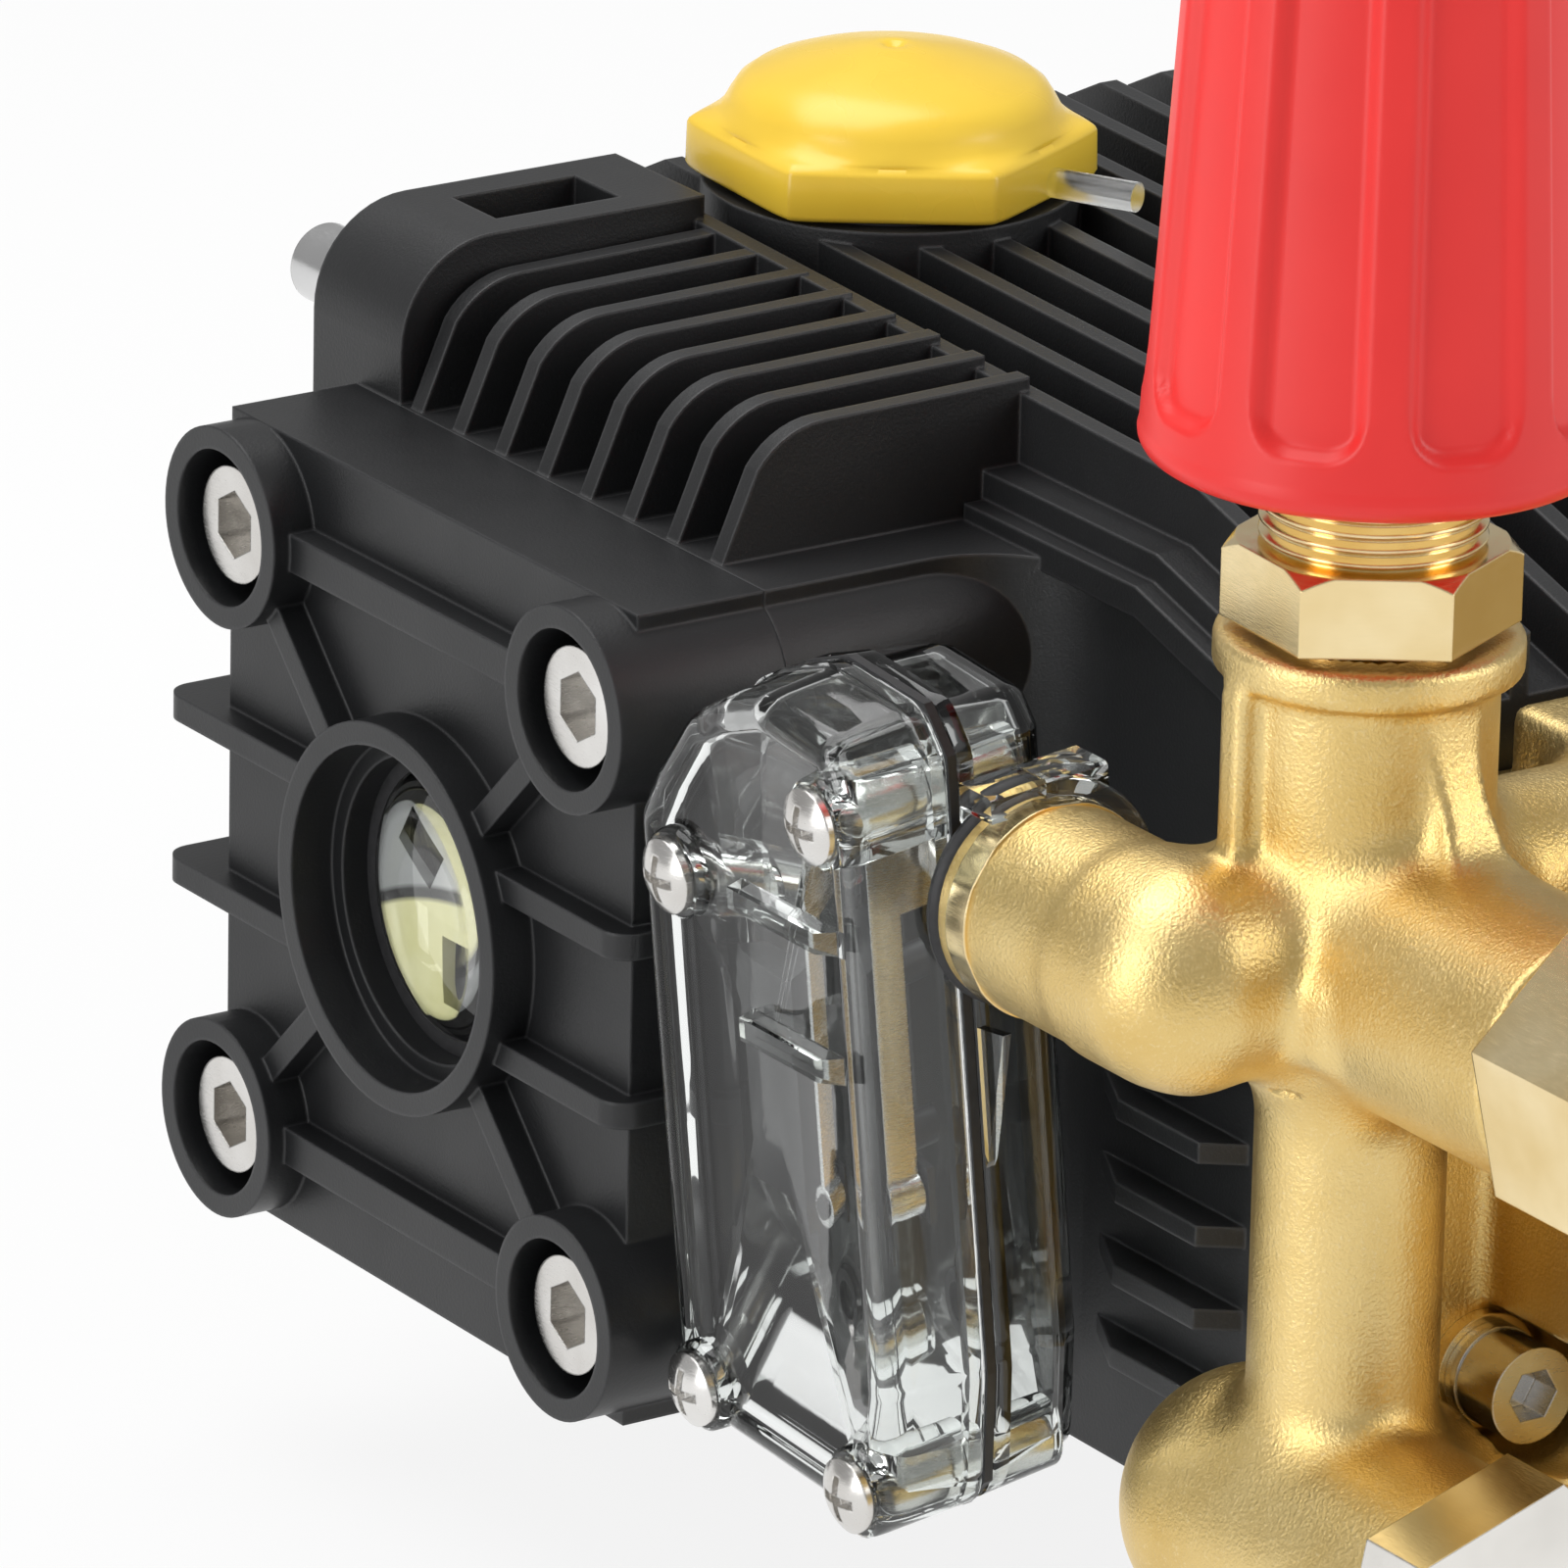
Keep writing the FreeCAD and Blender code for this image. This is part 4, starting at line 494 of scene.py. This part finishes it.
def head_distance(p):
    x, y = NECK
    d = near_rod(p, (x, y, ARM_Z), (x, y, 58.0), 12.75)
    d = blend_in(d, near_capsule(p, (x, y, ARM_Z), (x, y, ARM_Z + 2.0), 13.4), 2.0)
    d = blend_in(d, near_rod(p, (x, y, ARM_Z), (x, -152.0, ARM_Z), 13.5), 4.5)
    sensor = near_capsule(p, (-161.0, -112.0, ARM_Z), (-161.0, -106.0, ARM_Z), 11.2)
    sensor = blend_in(sensor, near_rod(p, (-161.0, -106.0, ARM_Z), (-161.0, -84.6, ARM_Z), 10.8, 0.5), 0.25)
    d = blend_in(d, sensor, 5.5)
    d = blend_in(d, near_rod(p, (-161.0, -112.0, ARM_Z), (x, -112.0, ARM_Z), 9.0), 5.0)
    # A flat cast pad where the three arms meet.
    d = blend_in(d, near_box(p, (-155.0, -127.5, 20.0), (-147.0, -118.0, 29.0), 2.0), 2.6)
    column = near_box(p, (x - 8.2, y - 7.4, -38.0), (x + 8.4, y + 8.0, 30.0), 5.0)
    column = np.minimum(column, near_rod(p, (x, y, -38.0), (x, y, 28.0), 9.4))
    d = blend_in(d, column, 6.0)
    inlet = near_rod(p, (-143.0, -104.0, -35.0), (-143.0, -138.0, -35.0), 14.2)
    inlet = np.minimum(inlet, near_capsule(p, (-143.0, -104.0, -35.0), (-143.0, -110.0, -35.0), 14.2))
    d = blend_in(d, inlet, 4.0)
    # Cast web down the neck's front, wedge shaped.
    wedge = np.maximum.reduce([(-(p[:, 1] - (y - 11.0)) * 0.88 + (p[:, 2] - 52.5) * 0.47),
                               np.abs(p[:, 0] - (x + 1.2)) - 3.4 + (p[:, 2] - 38.0) * 0.10,
                               p[:, 1] - (y - 8.0), (ARM_Z + 6.0) - p[:, 2]])
    d = blend_in(d, wedge, 2.6)
    d = blend_in(d, near_box(p, (x - 15.4, y - 0.6, ARM_Z), (x - 8.0, y + 3.0, 55.0), 0.9), 1.4)
    rim = near_rod(p, (x, y, 55.0), (x, y, 59.0), 15.0, 0.9)
    d = blend_in(d, rim, 1.6)
    link = near_rod(p, (x, y, 29.5), (-104.0, y, 29.5), 10.5)
    link = np.minimum(link, near_rod(p, (-143.0, y, -35.0), (-102.0, y, -35.0), 11.2))
    d = blend_in(d, link, 4.0)
    block = near_box(p, (-111.5, -150.0, -4.0), (-18.0, -97.0, 40.6), 1.5)
    block = blend_in(block, near_box(p, (-121.0, -150.0, -45.0), (-18.0, -97.0, 4.0), 1.5), 1.5)
    block = blend_in(block, near_box(p, (-134.0, -110.0, -32.0), (-18.0, -92.0, 32.0), 1.2), 3.0)
    d = blend_in(d, block, 4.0)
    return d


def head_hollow(p):
    x, y = NECK
    tools = [near_rod(p, (x, y, BORE_FLOOR), (x, y, 60.0), 8.5),
             near_rod(p, (x, y, 45.0), (x, y, 60.0), 10.1),
             near_rod(p, (x, -153.0, ARM_Z), (x, y, ARM_Z), 6.0),
             near_rod(p, (x, -153.0, ARM_Z), (x, -141.0, ARM_Z), 10.1),
             near_rod(p, (-143.0, -139.0, -35.0), (-143.0, -104.0, -35.0), 8.0),
             near_rod(p, (-143.0, -139.0, -35.0), (-143.0, -127.0, -35.0), 11.6),
             near_rod(p, (x, y, 33.5), (-26.0, y, 33.5), 4.5),
             near_rod(p, (-143.0, y, -36.0), (-26.0, y, -36.0), 6.0),
             near_rod(p, (-161.0, -112.0, ARM_Z), (-161.0, -83.0, ARM_Z), 2.55),
             near_rod(p, (x, y, -36.0), (x, y, BORE_FLOOR + 1.0), 3.5),
             near_rod(p, (-161.0, -112.0, ARM_Z), (x, -112.0, ARM_Z), 2.0)]
    for px in PLUNGERS:
        tools += [near_rod(p, (px, -106.0, 0.0), (px, -91.0, 0.0), 15.0),
                  near_rod(p, (px, -140.0, 0.0), (px, -91.0, 0.0), 10.0),
                  near_rod(p, (px, -134.0, -24.0), (px, -134.0, 24.0), 4.0),
                  near_rod(p, (px, -151.0, 24.0), (px, -117.0, 24.0), 9.1),
                  near_rod(p, (px, -151.0, -24.0), (px, -117.0, -24.0), 9.1)]
    for px in (-122.0, -90.0, -58.0, -26.0):
        for pz in (22.5, -22.5):
            tools += [near_rod(p, (px, -151.0, pz), (px, -110.0, pz), 6.6),
                      near_rod(p, (px, -111.0, pz), (px, -91.0, pz), 3.15)]
    return np.minimum.reduce(tools)


def make_head_piece():
    # The CAD solid gives the starting skin; its points then slide onto the filleted surface.
    source = nodes["head"]
    mesh = source.data.copy()
    mesh.name = "head_casting"
    # The regulator bore ends higher here than in the CAD, where the wall below it is too thin to remesh.
    for vertex in mesh.vertices:
        x, y, z = vertex.co / MM
        if abs(z - CAD_BORE_FLOOR) < 0.05 and math.hypot(x - NECK[0], y - NECK[1]) < 8.6:
            vertex.co.z = BORE_FLOOR * MM
    piece = bpy.data.objects.new("head_casting", mesh)
    bpy.context.scene.collection.objects.link(piece)

    def total(q):
        return np.maximum(head_distance(q), -head_hollow(q))

    # Twice: an even skin over the shape, then its points slide onto the distance's zero surface.
    step = 0.02
    for _ in range(2):
        remesh = piece.modifiers.new("remesh", "REMESH")
        remesh.mode = "VOXEL"
        remesh.voxel_size = 0.0008
        graph = bpy.context.evaluated_depsgraph_get()
        fine = bpy.data.meshes.new_from_object(piece.evaluated_get(graph))
        piece.modifiers.clear()
        piece.data = fine
        fine.name = "head_casting"
        p = np.empty(len(fine.vertices) * 3)
        fine.vertices.foreach_get("co", p)
        p = p.reshape(-1, 3) / MM
        for _ in range(5):
            d = total(p)
            slope = np.stack([total(p + np.eye(3)[k] * step) - d for k in range(3)], 1) / step
            size = np.maximum((slope ** 2).sum(1), 0.25)
            p = p - np.clip(d, -1.5, 1.5)[:, None] * slope / size[:, None]
        fine.vertices.foreach_set("co", (p * MM).ravel())
    fine.update()
    fine.materials.clear()
    fine.materials.append(finishes["cast_brass"])
    fine.shade_smooth()
    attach(piece, "pump")
    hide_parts("head")
    return piece


# Clear pressure switch box, built in a frame on the switch boss axis that leans with the box

BOX_LEAN = math.radians(5.9)
BOX_ORIGIN = np.array((-161.0, 0.0, 26.5))
BOX_OUTLINE = ((-43.9, 1.4), (-43.9, -60.5), (-47.5, -64.6), (-78.5, -66.4), (-82.6, -62.5),
               (-84.4, -50.0), (-84.4, 16.0), (-81.0, 20.4), (-68.0, 21.4), (-60.0, 18.5),
               (-54.4, 15.4), (-47.8, 7.4))
BOX_RADII = (6.0, 5.0, 5.0, 5.0, 5.0, 8.0, 4.0, 4.0, 6.0, 8.0, 8.0, 8.0)
LID_FRONT, LID_BACK, BASE_FRONT, BASE_BACK = -18.5, -7.0, -6.0, 5.5
LID_SCREWS = ((-52.6, -3.0), (-79.2, 10.8), (-50.1, -59.8), (-77.8, -61.4))


def from_box_frame(points):
    p = np.asarray(points, float)
    x = p[:, 0] * math.cos(BOX_LEAN) - p[:, 2] * math.sin(BOX_LEAN)
    z = p[:, 0] * math.sin(BOX_LEAN) + p[:, 2] * math.cos(BOX_LEAN)
    return (np.stack([x, p[:, 1], z], 1) + BOX_ORIGIN) * MM


def rounded_outline(corners, radii, arc_steps=8, run_step=3.0):
    """Points round a polygon whose corners are rounded, with outward normals."""
    corners = [np.asarray(c, float) for c in corners]
    count = len(corners)
    line = []
    for k in range(count):
        here, before, after = corners[k], corners[k - 1], corners[(k + 1) % count]
        a = (before - here) / np.linalg.norm(before - here)
        b = (after - here) / np.linalg.norm(after - here)
        half = math.acos(max(-1.0, min(1.0, float(a @ b)))) / 2
        reach = min(radii[k] / math.tan(half), 0.45 * np.linalg.norm(before - here),
                    0.45 * np.linalg.norm(after - here))
        for share in np.linspace(0.0, 1.0, arc_steps):
            line.append((1 - share) ** 2 * (here + a * reach) + 2 * share * (1 - share) * here
                        + share ** 2 * (here + b * reach))
    points = []
    for first, second in zip(line, line[1:] + line[:1]):
        steps = max(1, int(np.linalg.norm(second - first) / run_step))
        for s in range(steps):
            points.append(first + (second - first) * s / steps)
    points = np.array(points)
    tangent = np.roll(points, -1, 0) - np.roll(points, 1, 0)
    normal = np.stack([tangent[:, 1], -tangent[:, 0]], 1)
    normal /= np.linalg.norm(normal, axis=1)[:, None]
    if ((points - points.mean(0)) * normal).sum() < 0:
        normal = -normal
    return points, normal


def shell_mesh(name, profile):
    """A closed skin over the box outline; each profile step is (x, inward shift)."""
    outline, normal = rounded_outline(BOX_OUTLINE, BOX_RADII)
    rings = []
    for x, shift in profile:
        yz = outline - normal * shift
        rings.append(from_box_frame(np.column_stack([np.full(len(yz), x), yz])))
    return grid_mesh(name, rings)


TUBE_SIDES = 48


def tube_rings(steps, centre, axis_y=False):
    """Round rings about a place in the box frame; each step is (place along the axis, radius)."""
    turns = np.linspace(0.0, 2 * math.pi, TUBE_SIDES + 1)[:-1]
    rings = []
    for along, radius in steps:
        if axis_y:
            points = np.column_stack([centre[0] + radius * np.cos(turns), np.full(TUBE_SIDES, along),
                                      centre[1] + radius * np.sin(turns)])
        else:
            points = np.column_stack([np.full(TUBE_SIDES, along), centre[0] + radius * np.cos(turns),
                                      centre[1] + radius * np.sin(turns)])
        rings.append(from_box_frame(points))
    return rings


def joined(name, meshes):
    bm = bmesh.new()
    for mesh in meshes:
        bm.from_mesh(mesh)
        bpy.data.meshes.remove(mesh)
    bmesh.ops.recalc_face_normals(bm, faces=bm.faces)
    result = bpy.data.meshes.new(name)
    bm.to_mesh(result)
    bm.free()
    return result


def hoop_mesh(name, steps, centre, axis_y=False):
    rings = tube_rings(list(steps) + [steps[0]], centre, axis_y)
    return grid_mesh(name, rings, closed_ends=False)


def slanted_bar(name, y0, y1, z0, z1, x0, x1, slant):
    low = [(x1, y0, z0), (x1, y1, z0), (x1, y1, z1), (x1, y0, z1)]
    high = [(x0, y0 + slant, z0 + 0.3), (x0, y1 - 0.4, z0 + 0.3),
            (x0, y1 - 0.4, z1 - 0.3), (x0, y0 + slant, z1 - 0.3)]
    return grid_mesh(name, [from_box_frame(np.array(low)), from_box_frame(np.array(high))])


def make_box_pieces():
    lid = [(LID_FRONT + 2.3, 4.4), (LID_FRONT + 2.7, 3.4), (LID_FRONT + 3.6, 2.8), (LID_BACK - 0.2, 2.2),
           (LID_BACK, 2.0), (LID_BACK, 0.3), (LID_BACK - 0.3, 0.0), (LID_BACK - 2.0, 0.0),
           (LID_BACK - 2.3, 0.4), (LID_BACK - 2.6, 0.6), (LID_FRONT + 3.4, 0.9), (LID_FRONT + 1.6, 1.2),
           (LID_FRONT + 0.6, 1.7), (LID_FRONT + 0.1, 2.5), (LID_FRONT, 3.2), (LID_FRONT, 3.9),
           (LID_FRONT + 0.3, 4.2), (LID_FRONT + 0.5, 4.5)]
    meshes = [shell_mesh("lid", lid)]
    for y, z in LID_SCREWS:
        boss = [(LID_FRONT - 0.8, 4.3), (LID_FRONT - 0.5, 4.7), (LID_FRONT + 1.0, 4.8),
                (LID_BACK - 0.1, 4.6), (LID_BACK - 0.1, 2.1), (LID_FRONT - 0.8, 2.1)]
        meshes.append(hoop_mesh("boss", boss, (y, z)))
    meshes.append(slanted_bar("bar", -81.0, -63.0, -3.2, -0.4, LID_FRONT - 1.4, LID_FRONT + 1.0, 2.5))
    meshes.append(slanted_bar("bar", -80.0, -63.5, -17.2, -14.2, LID_FRONT - 1.4, LID_FRONT + 1.0, 2.5))
    new_piece("lid_clear", joined("lid_clear", meshes), "clear_plastic", "pump", "switch_lid", sharp=50)

    base = [(BASE_BACK - 1.9, 4.4), (BASE_BACK - 2.3, 3.6), (BASE_BACK - 3.4, 3.0),
            (BASE_FRONT + 0.2, 2.2),
            (BASE_FRONT, 2.0), (BASE_FRONT, 0.3), (BASE_FRONT + 0.3, 0.0), (BASE_FRONT + 2.0, 0.0),
            (BASE_FRONT + 2.3, 0.5), (BASE_FRONT + 2.6, 0.9), (BASE_BACK - 2.4, 1.3), (BASE_BACK - 0.9, 1.8),
            (BASE_BACK - 0.2, 2.6), (BASE_BACK, 3.6)]
    meshes = [shell_mesh("base", base)]
    for y, z in LID_SCREWS:
        post = [(BASE_FRONT + 0.1, 4.4), (BASE_BACK - 2.4, 4.0), (BASE_BACK - 2.4, 2.1),
                (BASE_FRONT + 0.1, 2.1)]
        meshes.append(hoop_mesh("post", post, (y, z)))
    # The collar that holds the sensor arm, with its bar and the slanting rib below it.
    collar_steps = 25
    turns = np.linspace(-math.pi / 2 + 0.05, math.pi / 2 - 0.05, collar_steps)
    section = ((-84.9, 11.2), (-84.9, 13.1), (-89.7, 13.1), (-90.0, 12.8), (-90.0, 11.4), (-89.8, 11.2))
    arc = []
    for y, radius in section:
        arc.append(np.column_stack([np.maximum(radius * np.cos(turns), -5.9), np.full(collar_steps, y),
                                    radius * np.sin(turns)]))
    rings = [from_box_frame(np.array([row[k] for row in arc])) for k in range(collar_steps)]
    meshes.append(grid_mesh("collar", rings))
    meshes.append(grid_mesh("collar_bar", [from_box_frame(np.array(row)) for row in (
        [(x, -84.6, 10.3), (x, -89.9, 10.3), (x, -89.9, 12.7), (x, -89.5, 13.0), (x, -84.6, 13.0)]
        for x in (-5.9, 7.9))]))
    meshes.append(grid_mesh("slant_rib", [from_box_frame(np.array(row)) for row in (
        [(-5.6, -84.5, -13.0), (-4.6, -84.5, -13.0), (-4.6, -89.0, -12.4), (-5.6, -89.0, -12.4)],
        [(-5.6, -84.5, -28.0), (-4.6, -84.5, -28.0), (-4.6, -85.1, -27.0), (-5.6, -85.1, -27.0)])]))
    new_piece("base_clear", joined("base_clear", meshes), "clear_plastic", "pump", "switch_base", sharp=50)


def make_arm_end_pieces():
    # Rubber ring behind the sensor arm's end and the arm's turned end with its small flats.
    ring = hoop_mesh("arm_ring", [(-85.9 + 1.2 * math.sin(a), 10.1 + 1.2 * math.cos(a))
                                  for a in np.linspace(0.0, 2 * math.pi, 13)[:-1]], (0.0, 0.0), True)
    new_piece("arm_ring", ring, "rubber_black", "pump")
    sides = 144
    turns = np.linspace(0.0, 2 * math.pi, sides + 1)[:-1]
    flats = hexagon_reach(turns, 0.0218, 0.0002, math.radians(20.0)) / MM
    rings = []
    steps = ((-91.6, 10.3), (-91.6, 11.05), (-88.4, 11.05), (-88.2, 10.85), (-87.2, 10.0), (-87.2, 2.7))
    for y, radius in steps:
        reach = np.minimum(radius, flats) if radius > 10.4 else np.full(sides, radius)
        rings.append(from_box_frame(np.column_stack([reach * np.cos(turns), np.full(sides, y),
                                                     reach * np.sin(turns)])))
    rings.append(rings[0])
    end = grid_mesh("arm_end", rings, closed_ends=False)
    new_piece("arm_end", end, "machined_brass", "pump", sharp=25)


def make_lens_piece():
    sides = 72
    turns = np.linspace(0.0, 2 * math.pi, sides + 1)[:-1]
    front, rim = -171.8, 14.3
    steps = [(front + 2.6, rim), (front, rim), (front - 0.3, rim - 0.2), (front - 1.0, 11.5),
             (front - 1.5, 8.0), (front - 1.75, 4.0), (front - 1.8, 1.0)]
    rings = [np.column_stack([np.full(sides, x), r * np.cos(turns), r * np.sin(turns)]) * MM
             for x, r in steps]
    return new_piece("sight_lens", grid_mesh("sight_lens", rings), "clear_glass", "pump", "sight_glass")


make_knob_piece()
make_cap_piece()
make_head_piece()
make_box_pieces()
make_arm_end_pieces()
make_lens_piece()


# Camera, floor and lights

camera_data = bpy.data.cameras.new("camera")
camera_data.sensor_width = 36.0
camera_data.lens = 315.0
camera_data.clip_start = 0.05
camera_data.clip_end = 20.0
camera = bpy.data.objects.new("camera", camera_data)
bpy.context.scene.collection.objects.link(camera)
right = Vector((0.8316, -0.5550, 0.0208)).normalized()
back = Vector((-0.5283, -0.7788, 0.3383)).normalized()
up = back.cross(right)
turn = Matrix((right, up, back)).transposed().to_4x4()
camera.matrix_world = Matrix.Translation((-0.8810, -1.1054, 0.4859)) @ turn
bpy.context.scene.camera = camera

scene = bpy.context.scene
scene.view_settings.view_transform = "Standard"


def white_seen(material, strength, share):
    """Shows the surface as plain white to the camera, to glossy rays and to rays through clear parts."""
    tree = material.node_tree
    out = tree.nodes["Material Output"]
    path = tree.nodes.new("ShaderNodeLightPath")
    glow = tree.nodes.new("ShaderNodeEmission")
    glow.inputs["Color"].default_value = (1.0, 1.0, 1.0, 1.0)
    glow.inputs["Strength"].default_value = strength
    first = tree.nodes.new("ShaderNodeMath")
    first.operation = "MAXIMUM"
    second = tree.nodes.new("ShaderNodeMath")
    second.operation = "MAXIMUM"
    scaled = tree.nodes.new("ShaderNodeMath")
    scaled.operation = "MULTIPLY"
    scaled.inputs[1].default_value = share
    mixer = tree.nodes.new("ShaderNodeMixShader")
    tree.links.new(path.outputs["Is Camera Ray"], first.inputs[0])
    tree.links.new(path.outputs["Is Glossy Ray"], first.inputs[1])
    tree.links.new(first.outputs[0], second.inputs[0])
    tree.links.new(path.outputs["Is Transmission Ray"], second.inputs[1])
    tree.links.new(second.outputs[0], scaled.inputs[0])
    tree.links.new(scaled.outputs[0], mixer.inputs[0])
    tree.links.new(tree.nodes["Principled BSDF"].outputs[0], mixer.inputs[1])
    tree.links.new(glow.outputs[0], mixer.inputs[2])
    tree.links.new(mixer.outputs[0], out.inputs["Surface"])


def make_floor():
    mesh = bpy.data.meshes.new("floor")
    bm = bmesh.new()
    bmesh.ops.create_grid(bm, x_segments=8, y_segments=8, size=6.0)
    bm.to_mesh(mesh)
    bm.free()
    floor = bpy.data.objects.new("floor", mesh)
    bpy.context.scene.collection.objects.link(floor)
    floor.location = (0.0, 0.0, cad_low.z - 0.0002)
    s = Shade("floor_white")
    s.set(Roughness=0.9)
    s.link(s.mix(s.noise(3.0), (0.86, 0.86, 0.86), (0.90, 0.90, 0.90)), s.shader.inputs["Base Color"])
    mesh.materials.append(s.material)
    white_seen(s.material, 1.0, 0.86)


make_floor()

world = bpy.data.worlds.new("studio")
scene.world = world
world.use_nodes = True
tree = world.node_tree
tree.nodes["Background"].inputs["Color"].default_value = (1.0, 1.0, 1.0, 1.0)
tree.nodes["Background"].inputs["Strength"].default_value = 0.42
plain = tree.nodes.new("ShaderNodeBackground")
plain.inputs["Strength"].default_value = 1.0
path = tree.nodes.new("ShaderNodeLightPath")
mixer = tree.nodes.new("ShaderNodeMixShader")
tree.links.new(path.outputs["Is Camera Ray"], mixer.inputs[0])
tree.links.new(tree.nodes["Background"].outputs[0], mixer.inputs[1])
tree.links.new(plain.outputs[0], mixer.inputs[2])
tree.links.new(mixer.outputs[0], tree.nodes["World Output"].inputs["Surface"])


def softbox(name, place, aim, width, height, power):
    data = bpy.data.lights.new(name, "AREA")
    data.shape = "RECTANGLE"
    data.size = width
    data.size_y = height
    data.energy = power
    light = bpy.data.objects.new(name, data)
    bpy.context.scene.collection.objects.link(light)
    light.location = place
    light.rotation_mode = "QUATERNION"
    light.rotation_quaternion = (Vector(aim) - Vector(place)).to_track_quat("-Z", "Y")
    return light


centre = (-0.12, -0.07, 0.02)
softbox("key_top", (-0.25, 0.25, 0.95), centre, 0.9, 0.7, 6.8)
softbox("side_left", (-1.05, -0.10, 0.35), centre, 0.35, 0.9, 4.0)
softbox("front_right", (0.65, -1.05, 0.55), centre, 0.5, 0.9, 5.2)
